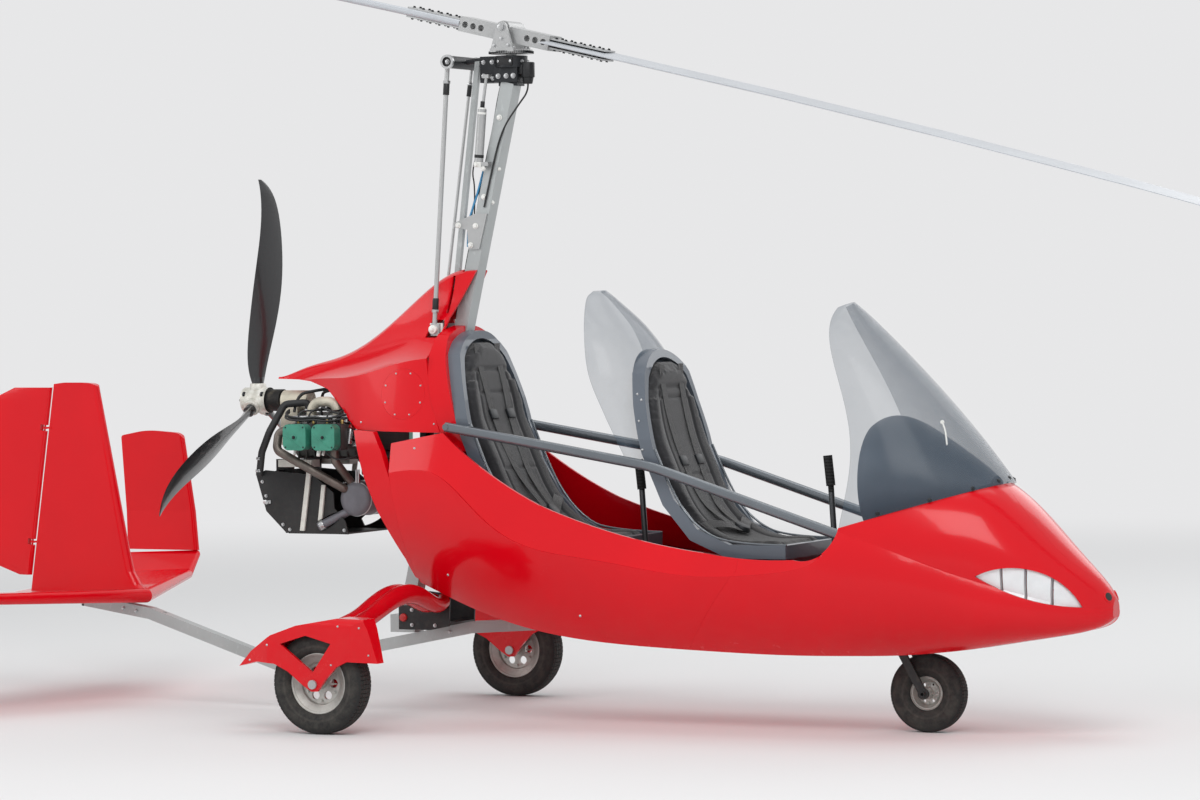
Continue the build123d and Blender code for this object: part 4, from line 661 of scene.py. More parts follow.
class Workpiece:
    """A mesh that is shaped with bmesh operators and then mounted. Every place and size is in the drawing's mm."""

    def __init__(self, part: Part, layout: Layout) -> None:
        """Starts an empty mesh.

        Args:
            part: What the mesh becomes.
            layout: Where the drawing lies in the row frame.
        """
        self.part = part
        self.layout = layout
        self.mesh = bmesh.new()

    def soften(self, edges: Iterable[bmesh.types.BMEdge], width: float, segments: int = 2) -> None:
        """Bevels some edges."""
        bmesh.ops.bevel(self.mesh, geom=list(edges), offset=MM * width, affect="EDGES", segments=segments,
                        profile=0.5, material=-1, clamp_overlap=True)

    def block(self, first: Spot, second: Spot, bevel: float = 0.0, turn: Optional[Matrix] = None,
              segments: int = 2) -> list[bmesh.types.BMVert]:
        """Adds a box.

        Args:
            first: One corner.
            second: The opposite corner.
            bevel: Width of its softened edges.
            turn: A rotation about its centre.
            segments: Steps across a softened edge.

        Returns:
            Its vertices before softening.
        """
        low, high = self.layout.at(first), self.layout.at(second)
        size = [abs(b - a) for a, b in zip(low, high)]
        place = Matrix.Translation((low + high) / 2) @ (turn or Matrix.Identity(4))
        made = bmesh.ops.create_cube(self.mesh, size=1.0, matrix=place @ Matrix.Diagonal((*size, 1.0)))
        if bevel:
            self.soften({e for v in made["verts"] for e in v.link_edges}, bevel, segments)
        return made["verts"]

    def rod(self, start: Spot, end: Spot, radius: float, far: Optional[float] = None, sides: int = 24,
            bevel: float = 0.0) -> None:
        """Adds a round or many-sided bar.

        Args:
            start: Centre of its first end.
            end: Centre of its other end.
            radius: Its radius.
            far: Radius at the other end, if different.
            sides: Number of sides.
            bevel: Width of its softened end edges.
        """
        low, high = self.layout.at(start), self.layout.at(end)
        run = high - low
        place = Matrix.Translation((low + high) / 2) @ run.to_track_quat("Z", "Y").to_matrix().to_4x4()
        made = bmesh.ops.create_cone(self.mesh, cap_ends=True, cap_tris=False, segments=sides, radius1=MM * radius,
                                     radius2=MM * (radius if far is None else far), depth=run.length, matrix=place)
        if bevel:
            rim = {e for v in made["verts"] for e in v.link_edges if any(len(f.verts) > 4 for f in e.link_faces)}
            self.soften(rim, bevel)

    def block_pairs(self, rows: Iterable[tuple[Spot, Spot, float]], segments: int = 2) -> None:
        """Adds boxes on the left, and the same on the right.

        Args:
            rows: Two opposite corners and the bevel of each.
            segments: Steps across a softened edge.
        """
        for (first, second, bevel), side in product(rows, SIDES):
            self.block(*mirror(side, first, second), bevel, segments=segments)

    def rod_pairs(self, rows: Iterable[tuple]) -> None:
        """Adds bars on the left, and the same on the right, from rows of what `rod` takes."""
        for (start, end, *sizes), side in product(rows, SIDES):
            self.rod(*mirror(side, start, end), *sizes)

    def bolt(self, foot: Spot, towards: Spot, size: float) -> None:
        """Adds a hexagon head on a washer, standing on a surface.

        Args:
            foot: Where it meets the surface.
            towards: The direction of its head.
            size: Radius of its head.
        """
        foot, out = Vector(foot), Vector(towards).normalized()
        seat = foot + out * size * 0.3
        self.rod(foot - out, seat, size * 1.35, sides=20)
        self.rod(seat, foot + out * size * 1.2, size, sides=6, bevel=size * 0.12)

    def bolt_pairs(self, spots: Iterable[Spot], size: float) -> None:
        """Adds bolts that face outwards at some places on the left, and the same on the right."""
        for spot, side in product(spots, SIDES):
            self.bolt(*mirror(side, spot), across(side), size)

    def screw(self, foot: Spot, towards: Spot, size: float) -> None:
        """Adds a low domed screw head.

        Args:
            foot: Where it meets the surface.
            towards: The direction of its head.
            size: Radius of its foot.
        """
        foot, out = Vector(foot), Vector(towards).normalized()
        self.rod(foot - out, foot + out * size * 0.55, size, size * 0.55, sides=14, bevel=size * 0.1)

    def lathe(self, profile: Sequence[tuple[float, float]], centre: Spot, steps: int,
              axis: str = "Y") -> list[bmesh.types.BMFace]:
        """Spins a closed profile round an axis.

        Args:
            profile: Distances along the axis and out from it.
            centre: A point on the axis.
            steps: Steps of the full turn.
            axis: The axis, X or Y.

        Returns:
            The faces made.
        """
        before = set(self.mesh.faces)
        line = Vector((0, 1, 0) if axis == "Y" else (1, 0, 0))
        middle = self.layout.at(centre)
        verts = [self.mesh.verts.new(middle + MM * (line * along + UP * out)) for along, out in profile]
        edges = [self.mesh.edges.new(pair) for pair in zip(verts, verts[1:] + verts[:1])]
        bmesh.ops.spin(self.mesh, geom=verts + edges, cent=middle, axis=line, dvec=(0, 0, 0), angle=2 * math.pi,
                       steps=steps, use_merge=True)
        return [f for f in self.mesh.faces if f not in before]

    def tube(self, points: Sequence[Spot], radius: float) -> None:
        """Adds a round tube along a smooth line that bends towards points.

        Args:
            points: The line's control points.
            radius: The tube's radius.
        """
        curve = bpy.data.curves.new("run", "CURVE")
        curve.dimensions = "3D"
        spline = curve.splines.new("NURBS")
        spline.points.add(len(points) - 1)
        for knot, spot in zip(spline.points, points):
            knot.co = (*self.layout.at(spot), 1.0)
        spline.order_u = 3
        spline.use_endpoint_u = True
        curve.resolution_u = 8
        curve.bevel_depth = MM * radius
        curve.bevel_resolution = 3
        curve.use_fill_caps = True
        holder = bpy.data.objects.new("run", curve)
        made = bpy.data.meshes.new_from_object(holder)
        self.mesh.from_mesh(made)
        bpy.data.meshes.remove(made)
        bpy.data.objects.remove(holder)
        bpy.data.curves.remove(curve)

    def tube_pair(self, points: Sequence[Spot], radius: float) -> None:
        """Adds a tube on the left, and the same on the right."""
        for side in SIDES:
            self.tube(mirror(side, *points), radius)

    def ribbon(self, points: Sequence[Vector], width: float, thickness: float, side: Spot, steps: int) -> None:
        """Adds a flat strap along a smooth line.

        Args:
            points: The line's points, which it passes through.
            width: Width of the strap.
            thickness: Its thickness.
            side: The direction of its width.
            steps: Steps along it.
        """
        made = bmesh.ops.create_grid(self.mesh, x_segments=steps, y_segments=4, size=0.5)
        reach = Vector(side).normalized() * width
        for vert in made["verts"]:
            vert.co = self.layout.at(smooth_point(points, vert.co.x + 0.5) + reach * vert.co.y)
        faces = list({f for v in made["verts"] for f in v.link_faces})
        bmesh.ops.recalc_face_normals(self.mesh, faces=faces)
        bmesh.ops.solidify(self.mesh, geom=faces, thickness=MM * thickness)

    def mount(self, book: FinishBook) -> bpy.types.Object:
        """Turns the mesh into an object that rides on its body.

        Args:
            book: The finishes.

        Returns:
            The object.
        """
        body, slot, replaces = self.part.body, self.part.slot, self.part.replaces
        bmesh.ops.remove_doubles(self.mesh, verts=self.mesh.verts, dist=1e-6)
        bmesh.ops.recalc_face_normals(self.mesh, faces=self.mesh.faces)
        for face in self.mesh.faces:
            face.smooth = True
        for edge in self.mesh.edges:
            edge.smooth = edge.calc_face_angle(0.0) < math.radians(self.part.angle)
        data = bpy.data.meshes.new(self.part.name)
        self.mesh.to_mesh(data)
        self.mesh.free()
        piece = bpy.data.objects.new(self.part.name, data)
        bpy.context.scene.collection.objects.link(piece)
        data.materials.append(book.get(self.part.finish))
        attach(piece, body)
        if replaces:
            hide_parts(*replaces)
        LOG.info("%s: %d faces on %s", self.part.name, len(data.polygons), body)
        return piece


@dataclass
class Assembly:
    """What every sub-assembly shares: the drawing's layout, the book of finishes and the CAD nodes."""

    layout: Layout
    book: FinishBook
    nodes: dict[str, bpy.types.Object]

    def dress(self, finish: Union[Finish, bpy.types.Material], *names: str) -> None:
        """Gives CAD nodes a finish.

        Args:
            finish: The finish or material.
            names: The nodes.
        """
        for name in names:
            materials = self.nodes[name].data.materials
            materials.clear()
            materials.append(self.book.get(finish))

    @contextmanager
    def making(self, *parts: Part) -> Iterator[list[Workpiece]]:
        """Opens a workpiece for each part, and mounts them in the same order once their block is done.

        Args:
            parts: The parts.

        Yields:
            The workpieces.
        """
        pieces = [Workpiece(part, self.layout) for part in parts]
        yield pieces
        for piece in pieces:
            piece.mount(self.book)


@dataclass(frozen=True)
class WheelSize:
    """Sizes of one wheel."""

    name: str
    body: str
    x: float
    y: float
    radius: float
    width: float
    rim: float

    def centre(self) -> Vector:
        """Returns the wheel's centre."""
        return Vector((self.x, self.y, self.radius))


@dataclass
class Wheels(Assembly):
    """Treaded tyres, bead rings, wheel bolts and valves."""

    sizes: tuple[WheelSize, ...] = (
        WheelSize("main_right", "main_wheel_right", -406, -804, 188.5, 95, 112),
        WheelSize("main_left", "main_wheel_left", -406, 804, 188.5, 95, 112),
        WheelSize("nose", "nose_wheel", 1681, 0, 144, 80, 62),
    )
    groove: float = 3.5
    # Each point's share of the half width, and of the way from the rim to the tread
    sidewall: tuple[tuple[float, float], ...] = (
        (0.62, 0.0), (0.8, 0.05), (0.93, 0.2), (0.96, 0.24), (0.97, 0.42), (1.0, 0.5), (0.985, 0.64), (0.92, 0.78),
        (0.8, 0.9))
    # Each point's share of the half width, and of the rim's radius
    bead: tuple[tuple[float, float], ...] = ((0.60, 0.93), (0.66, 0.94), (0.72, 0.985), (0.70, 1.01), (0.62, 0.998))
    wheel_bolts: int = 6

    def build(self) -> None:
        """Builds all three wheels."""
        for size in self.sizes:
            self.tyre(size)
            self.trim(size)
            self.dress(Finish.RIM, size.name + "_rim")

    def tyre(self, size: WheelSize) -> None:
        """Spins a tyre's section and raises its tread blocks.

        Args:
            size: The wheel.
        """
        hub = self.layout.at(size.centre())
        half, radius, rim = size.width / 2, size.radius, size.rim
        wall, crown = radius - rim, radius - self.groove
        outline = [(h, rim + share * wall) for h, share in self.sidewall] + [(0.56, crown - 1), (0.2, crown)]
        profile = [(-h * half, out) for h, out in outline] + [(h * half, out) for h, out in outline[::-1]]
        profile += [(way * 0.5 * half, rim + 0.1 * wall) for way in (1, -1)]
        rubber = Tyre(size.name + "_rubber", MM * radius, MM * rim).build(hub)
        with self.making(Part(size.name + "_tyre_tread", rubber, "tyre_black", (size.name + "_tyre",),
                              size.body)) as (piece,):
            tread = []
            for face in piece.lathe(profile, size.centre(), 72):
                spot = (face.calc_center_median() - hub) / MM
                if spot.xz.length > radius - 0.14 * wall and abs(spot.y) < 0.78 * half:
                    tread.append(face)
            bmesh.ops.recalc_face_normals(piece.mesh, faces=piece.mesh.faces)
            bmesh.ops.inset_individual(piece.mesh, faces=tread, thickness=MM * 1.8, depth=MM * self.groove * 0.96)

    def trim(self, size: WheelSize) -> None:
        """Adds the bead rings, the ring of bolts and the valve.

        Args:
            size: The wheel.
        """
        centre, half, rim = size.centre(), size.width / 2, size.rim
        with self.making(Part(size.name + "_wheel_trim", Finish.RIM, "bright_steel", body=size.body)) as (piece,):
            for side in SIDES:
                piece.lathe([(side * h * half, out * rim) for h, out in self.bead], centre, 64)
                for _, cosine, sine in around(self.wheel_bolts, 0.5):
                    spot = Vector((cosine, 0, sine)) * rim * 0.58 + across(side) * 7.5
                    piece.bolt(centre + spot, across(side), 4.8)
            stem = centre + Vector((rim * 0.6, -0.32 * half, 0))
            piece.rod(stem, stem + Vector((-10, -24, 0)), 3, sides=12)


@dataclass(frozen=True)
class PadShape:
    """One seat's pad: the seat's front edge in side view, its crown height and its sewn channels."""

    name: str
    line: tuple[tuple[float, float], ...]
    crown: float
    seams: tuple[float, ...]


def bump(value: float, height: float, middle: float, width: float) -> float:
    """Returns a smooth bump's height at a value."""
    return height * math.exp(-((value - middle) / width) ** 2)


@dataclass
class Seats(Assembly):
    """Seat shells, padded covers, edge piping and four-point belts."""

    half: float = 234.0
    reach: float = 37.2
    thick: float = 30.0
    voxel: float = 7.0
    swell: float = 14.0
    swell_steps: int = 20
    pads: tuple[PadShape, ...] = (
        PadShape("front", ((602, 1440), (636, 1340), (660, 1211), (703, 1038), (782, 858), (878, 745), (1007, 690),
                           (1230, 690)), 1405.0, (0.20, 0.47, 0.66)),
        PadShape("rear", ((-143, 1520), (-143, 1446), (-131, 1393), (-108, 1309), (-84, 1219), (-64, 1130), (0, 975),
                          (72, 845), (152, 760), (250, 706), (490, 700)), 1480.0, (0.24, 0.50, 0.68)),
    )
    crown_gap: float = 34.0
    strip_half: float = 262.0
    # Share of the half width where the middle panel ends
    panel: float = 0.58
    # Height of each cross band, and its place and spread as shares of the seat's edge
    headrest: tuple[float, float, float] = (20, 0.09, 0.07)
    lumbar: tuple[float, float, float] = (6, 0.45, 0.09)
    neck_seam: tuple[float, float, float] = (9, 0.165, 0.008)
    # Share of the seat's edge, height above it and distance from the middle
    shoulder_belt: tuple[tuple[float, float, float], ...] = (
        (0.14, 22, 85), (0.22, 14, 82), (0.34, 13, 80), (0.46, 16, 72), (0.56, 16, 60), (0.64, 18, 45))
    webbing: float = 45.0
    webbing_thick: float = 1.6

    def build(self) -> None:
        """Builds both seats."""
        for pad in self.pads:
            self.dress(Finish.SLATE, f"seat_{pad.name}_shell")
            self.cushion(pad)
            self.piping(pad)
            self.belts(pad)

    def side_line(self, pad: PadShape) -> list[Vector]:
        """Returns the seat's front edge as points in the middle plane."""
        return [Vector((x, 0, z)) for x, z in pad.line]

    def behind(self, line: Sequence[Vector], spot: Vector) -> tuple[float, Vector, float]:
        """Measures a point against the seat's front edge.

        Args:
            line: The edge's points.
            spot: The point.

        Returns:
            Its distance behind the edge, the direction backwards, and its share of the edge's length.
        """
        nearest, best = math.inf, None
        total = sum((b - a).length for a, b in zip(line, line[1:]))
        gone = 0.0
        flat = Vector((spot.x, 0, spot.z))
        for a, b in zip(line, line[1:]):
            run = b - a
            share = min(max((flat - a).dot(run) / run.length_squared, 0.0), 1.0)
            gap = flat - (a + run * share)
            if gap.length < nearest:
                back = Vector((run.z, 0, -run.x)).normalized()
                nearest, best = gap.length, (gap.dot(back), back, (gone + share * run.length) / total)
            gone += run.length
        return best

    def half_width(self, crown: float, z: float) -> float:
        """Measures a pad's half width, which narrows towards the crown.

        Args:
            crown: Height of the seat's crown.
            z: The height.

        Returns:
            The half width there.
        """
        top, narrowing = crown - self.crown_gap, 300.0
        share = min(max((z - top) / narrowing + 1, 0.0), 1.0)
        return self.half * math.sqrt(max(1 - 0.93 * share ** 2.6, 0.02))

    def cushion(self, pad: PadShape) -> None:
        """Builds one padded cover: a bent sheet given thickness, remeshed, blown up and seamed.

        Args:
            pad: The seat's pad.
        """
        line, ends, foot_gap, foot_share = self.side_line(pad), pad.crown - self.crown_gap, 32.0, 0.93
        points = [p for p in line if p.z < ends - 4]
        lead = line[len(line) - len(points) - 1]
        path = [lead.lerp(points[0], (lead.z - ends) / (lead.z - points[0].z)), *points]
        path[-1] = path[-1] + (path[-2] - path[-1]).normalized() * foot_gap
        work = Workpiece(Part(f"seat_{pad.name}_cover", Finish.FABRIC, "black_fabric", (f"seat_{pad.name}_cushion",),
                              angle=180.0), self.layout)
        made = bmesh.ops.create_grid(work.mesh, x_segments=72, y_segments=28, size=0.5)
        for vert in made["verts"]:
            share = vert.co.x + 0.5
            spot = smooth_point(path, share)
            spot += self.behind(line, spot)[1] * (self.reach - self.thick)
            tail = max(share - foot_share, 0.0) / (1 - foot_share)
            wide = (self.half_width(pad.crown, spot.z) - 6) * math.sqrt(1 - 0.06 * tail * tail)
            vert.co = self.layout.at((spot.x, 2 * vert.co.y * wide, spot.z))
        faces = list(work.mesh.faces)
        bmesh.ops.recalc_face_normals(work.mesh, faces=faces)
        if sum(f.normal.x - f.normal.z for f in faces) > 0:
            bmesh.ops.reverse_faces(work.mesh, faces=faces)
        bmesh.ops.solidify(work.mesh, geom=faces, thickness=-MM * self.thick)
        piece = work.mount(self.book)
        piece.modifiers.new("blocks", "REMESH").mode = "VOXEL"
        piece.modifiers["blocks"].voxel_size = MM * self.voxel
        self.settle(piece)
        self.blow(piece)
        self.seam(piece, pad, line)
        fine = piece.modifiers.new("fine", "SUBSURF")
        fine.levels = fine.render_levels = 1
        self.settle(piece)
        for face in piece.data.polygons:
            face.use_smooth = True

    def settle(self, piece: bpy.types.Object) -> None:
        """Applies a piece's modifiers to its mesh.

        Args:
            piece: The piece.
        """
        graph = bpy.context.evaluated_depsgraph_get()
        made = bpy.data.meshes.new_from_object(piece.evaluated_get(graph))
        piece.modifiers.clear()
        material = piece.data.materials[0]
        piece.data = made
        made.materials.clear()
        made.materials.append(material)

    def blow(self, piece: bpy.types.Object) -> None:
        """Swells a pad with a short cloth simulation, with each point's travel capped.

        Args:
            piece: The pad.
        """
        scene = bpy.context.scene
        start = [v.co.copy() for v in piece.data.vertices]
        cloth = piece.modifiers.new("swell", "CLOTH")
        cloth.settings.quality = 4
        cloth.settings.use_pressure = True
        cloth.settings.uniform_pressure_force = 4.0
        cloth.settings.tension_stiffness = cloth.settings.compression_stiffness = 12.0
        cloth.settings.bending_stiffness = 0.4
        cloth.settings.effector_weights.gravity = 0.0
        cloth.point_cache.frame_start, cloth.point_cache.frame_end = 1, self.swell_steps
        for step in range(1, self.swell_steps + 1):
            scene.frame_set(step)
        self.settle(piece)
        scene.frame_set(1)
        cap = MM * self.swell
        for vert, old in zip(piece.data.vertices, start):
            move = vert.co - old
            if move.length > cap:
                vert.co = old + move.normalized() * cap

    def seam(self, piece: bpy.types.Object, pad: PadShape, line: Sequence[Vector]) -> None:
        """Raises a pad's headrest, bolsters and lumbar, presses its sewn channels and keeps it off its shell.

        Args:
            piece: The pad's object.
            pad: Its shape.
            line: The seat's front edge.
        """
        for vert in piece.data.vertices:
            spot = self.layout.back(vert.co)
            gap, back, share = self.behind(line, spot)
            wide = self.half_width(pad.crown, spot.z)
            front = min(max((self.reach - gap) / self.thick, 0.0), 1.0)
            y, panel = abs(spot.y), self.panel * wide
            raised = bump(share, *self.headrest) + bump(share, *self.lumbar)
            raised += bump(y, 10, 0.8 * wide, 45) * (share > 0.2)
            channels = [bump(share, 7, s, 0.006) * (y < panel) for s in pad.seams]
            press = max(bump(y, 8, panel, 6) * (share > 0.16), bump(share, *self.neck_seam), *channels)
            move = front * (raised - press)
            spot -= back * (move + max(gap - move - self.reach, 0.0))
            if y > wide:
                spot.y = math.copysign(wide, spot.y)
            vert.co = self.layout.at(spot)

    def piping(self, pad: PadShape) -> None:
        """Adds the pale edge strip along each side of the shell.

        Args:
            pad: The seat's pad.
        """
        with self.making(Part(f"seat_{pad.name}_edge_strip", Finish.BAR, "slate_shell")) as (piece,):
            for side in SIDES:
                piece.tube([(x + 2, side * self.strip_half, z + 1) for x, z in pad.line if z < pad.crown - 300], 4.2)

    def belts(self, pad: PadShape) -> None:
        """Lays shoulder and lap belts on the pad, with their buckles.

        Args:
            pad: The seat's pad.
        """
        line = self.side_line(pad)
        centre = smooth_point(line, 0.78)
        back = self.behind(line, centre)[1]
        hub = centre - back * 24
        clip_half, tilt = Vector((5, 28, 19)), Matrix.Rotation(math.radians(-22), 4, "Y")
        with self.making(Part(f"seat_{pad.name}_belts", Finish.WEBBING, "black_fabric"),
                         Part(f"seat_{pad.name}_buckles", Finish.DARK_STEEL, "bright_steel")) as (straps, metal):
            for side in SIDES:
                run = []
                for share, lift, spread in self.shoulder_belt:
                    spot = smooth_point(line, share)
                    run.append(spot - self.behind(line, spot)[1] * lift + across(side * spread))
                straps.ribbon(run + [hub + Vector((0, side * 30, 2))], self.webbing, self.webbing_thick, (0, 1, 0), 64)
                low = smooth_point(line, 0.70)
                anchor = low - self.behind(line, low)[1] * 6 + across(side * 215)
                middle = anchor.lerp(hub, 0.5) - back * 12
                straps.ribbon([anchor, middle, hub + Vector((0, side * 30, 4))], self.webbing, self.webbing_thick,
                              (0.75, 0, -0.5), 32)
                clip = smooth_point(run, 0.62)
                metal.block(clip - clip_half, clip + clip_half, 3, tilt)
            metal.rod(hub + back * 4, hub - back * 16, 33, 29, 32, 3)


@dataclass
class Shell(Assembly):
    """The red body: its finishes, screws, screen fixings, nose inlet and lamp glasses."""

    screen_rear: tuple[float, float] = (1471, 762)
    screen_front: tuple[float, float] = (2013, 918)
    screen_half: float = 343.0
    panel: tuple[float, float, float] = (-341, 1243, 84)
    flank_screws: tuple[tuple[str, float, float, float], ...] = (
        ("rear_cowl", -202, 1130, 5), ("rear_cowl", -532, 1135, 5), ("hull_tub", -150, 560, 6),
        ("hull_tub", 420, 420, 6), ("hull_tub", -260, 1040, 6), ("seat_front_shell", 659, 1037, 6),
        ("seat_front_shell", 641, 1143, 6), ("seat_front_shell", 642, 1221, 6), ("seat_front_shell", 623, 1242, 6),
        ("side_fins", -2020, 600, 4), ("side_fins", -2200, 600, 4))
    fairing_screws: tuple[tuple[float, float], ...] = (
        (-690, 270), (-600, 330), (-300, 405), (-215, 400), (-180, 300), (-330, 262))
    # Each row's place at the sides and its foremost place, both in side view, and its half width
    rear_screen_rows: tuple[tuple[float, float, float, float, float], ...] = (
        (600, 985, 688, 1010, 273.3), (505, 1170, 640, 1190, 273.3), (442, 1320, 622, 1350, 273.3),
        (402, 1475, 530, 1482, 222), (358, 1590, 420, 1592, 110), (352, 1626, 386, 1628, 36))
    screen_thick: float = 5.0
    vane: tuple[tuple[float, float], ...] = ((1790, 1136), (1802, 1116), (1814, 1088), (1824, 1056))

    def build(self) -> None:
        """Dresses the shell and adds its small parts."""
        self.dress(Finish.RED, "hull_tub", "nose_shell", "nose_hatch", "rear_cowl", "filler_panel", "rear_pillars",
                   "seat_bulkhead", "side_fins", "tailplane", "centre_fin", "rudder", "wheel_fairing_left",
                   "wheel_fairing_right")
        self.dress(Finish.RED_LEG, "gear_legs")
        self.dress(Finish.CLEAR, "lamp_covers")
        self.dress(Finish.LAMP, "nose_lamps")
        self.dress(Finish.GLAZING, "windshield_front")
        self.dress(Finish.PANEL, "cockpit_floor")
        self.dress(Finish.CONTROLS, "cockpit_controls")
        self.dress(Finish.BAR, "side_bars")
        self.rear_screen()
        self.screws()
        self.screen_base_screws()
        self.screen_vane()
        self.nose_inlet()
        self.rod_bracket()

    def surface(self, name: str, start: Spot, towards: Vector) -> Optional[tuple[Vector, Vector]]:
        """Finds a CAD node's surface along a ray.

        Args:
            name: The node.
            start: Where the ray starts.
            towards: Its direction.

        Returns:
            The point hit and the surface's outward normal there, or None where there is no surface.
        """
        hit, place, normal, _ = self.nodes[name].ray_cast(self.layout.at(start), towards)
        if not hit:
            LOG.warning("no surface of %s from %s", name, start)
            return None
        return self.layout.back(place), normal if normal.dot(towards) < 0 else -normal

    def rear_screen(self) -> None:
        """Bends the rear screen round the front seat and cuts it back to the seat's outline."""
        rears = [Vector((x, 0, z)) for x, z, _, _, _ in self.rear_screen_rows]
        fronts = [Vector((x, half, z)) for _, _, x, z, half in self.rear_screen_rows]
        with self.making(Part("rear_screen_sheet", Finish.GLAZING, "clear_screen", ("windscreen_rear",),
                              angle=50.0)) as (piece,):
            made = bmesh.ops.create_grid(piece.mesh, x_segments=150, y_segments=120, size=0.5)
            for vert in made["verts"]:
                rear, front = smooth_point(rears, vert.co.x + 0.5), smooth_point(fronts, vert.co.x + 0.5)
                turn = math.pi * vert.co.y
                reach = (front - rear) * math.cos(turn)
                reach.y = front.y * math.sin(turn)
                vert.co = self.layout.at(rear + reach)
            hidden = [f for f in piece.mesh.faces if self.within_seat(f.calc_center_median())]
            bmesh.ops.delete(piece.mesh, geom=hidden, context="FACES")
            faces = list(piece.mesh.faces)
            bmesh.ops.recalc_face_normals(piece.mesh, faces=faces)
            middle = self.layout.at((500, 0, 1250))
            outward = sum((f.calc_center_median() - middle).dot(f.normal) for f in faces) > 0
            thickness = self.screen_thick if outward else -self.screen_thick
            bmesh.ops.solidify(piece.mesh, geom=faces, thickness=MM * thickness)

    def within_seat(self, place: Vector) -> bool:
        """Tests a point of the rear screen against the front seat's back.

        Args:
            place: The point, in the row frame.

        Returns:
            Whether it lies ahead of the rear face of the seat's back, inside its outline.
        """
        inset, ahead, far = 0.005, 0.08, Vector((2, 0, 0))
        spot = place + Vector((0, math.copysign(inset, place.y), inset))
        seat = self.nodes["seat_front_shell"]
        met, front, _, _ = seat.ray_cast(spot + far, -far)
        _, back, _, _ = seat.ray_cast(spot - far, far)
        return met and back.x + inset < place.x < front.x + ahead

    def screws(self) -> None:
        """Adds the screws round the filler panel, on the flanks, the fins and the wheel fairings."""
        x, z, radius = self.panel
        spots = [("filler_panel", x + radius * cosine, z + radius * sine, 4.5, -1)
                 for _, cosine, sine in around(8, 0.5)]
        for side, fairing in zip(SIDES, ("wheel_fairing_right", "wheel_fairing_left")):
            spots += [(*spot, side) for spot in self.flank_screws]
            spots += [(fairing, x, z, 5, side) for x, z in self.fairing_screws]
        with self.making(Part("shell_screws", Finish.BRIGHT, "bright_steel")) as (piece,):
            for name, x, z, size, side in spots:
                found = self.surface(name, (x, side * 1300, z), across(-side))
                if found:
                    piece.screw(*found, size)

    def screen_base_screws(self) -> None:
        """Adds the screws along the foot of the front screen."""
        (rear, low), (front, high), half = self.screen_rear, self.screen_front, self.screen_half
        reach, rise, wider = front - rear, high - low, 1.2
        with self.making(Part("screen_screws", Finish.DARK_STEEL, "dark_steel")) as (piece,):
            for i in range(-4, 5):
                turn = math.radians(19 * i)
                cosine, sine = math.cos(turn), math.sin(turn)
                inward = Vector((-cosine * half, -sine * reach, 0)).normalized()
                start = Vector((rear + reach * cosine * wider, half * sine * wider, low + rise * cosine + 16))
                found = self.surface("windshield_front", start - inward * 200, inward)
                if found:
                    foot, out = found
                    piece.rod(foot - out, foot + out * 2, 8.5, sides=18, bevel=0.8)
                    piece.screw(foot + out * 2, out, 4.5)

    def screen_vane(self) -> None:
        """Adds the thin white vane on the right of the front screen."""
        found = [self.surface("windshield_front", (x, -700, z), -RIGHT) for x, z in self.vane]
        path = [place + out * 4 for place, out in filter(None, found)]
        with self.making(Part("screen_vane", Finish.WHITE, "lamp_white")) as (piece,):
            piece.tube(path, 3.2)
            piece.rod(path[0] - RIGHT * 6, path[0] + RIGHT * 4, 7, sides=16, bevel=1)

    def nose_inlet(self) -> None:
        """Adds the oval inlet's rim on each side of the nose tip, with a flat black disc in it as painted shade of the
        opening.
        """
        with self.making(Part("nose_inlet_rims", Finish.RED, "red_shell"),
                         Part("nose_inlet_mouths", Finish.BLACK_METAL, "dark_panel")) as (rim, opening_shade):
            for side in SIDES:
                found = self.surface("nose_shell", (2700, side * 44, 512), BACK)
                if found:
                    place, out = found
                    rim.rod(place - out * 2, place + out * 3, 21, 19, 32, 1)
                    # No hole is cut: this black disc is painted shade standing for the inlet's opening.
                    opening_shade.rod(place + out, place + out * 3.5, 15.5, sides=28, bevel=0.6)

    def rod_bracket(self) -> None:
        """Adds the pale bearing bracket where the right control rod passes the cowl."""
        with self.making(Part("rod_bracket", Finish.WHITE, "bright_steel")) as (piece,):
            piece.block((-311, -104, 1466), (-255, -94, 1510), 3)
            piece.rod((-285, -132, 1486), (-285, -100, 1486), 17, sides=28, bevel=2)
            piece.bolt((-285, -132, 1486), RIGHT, 7)


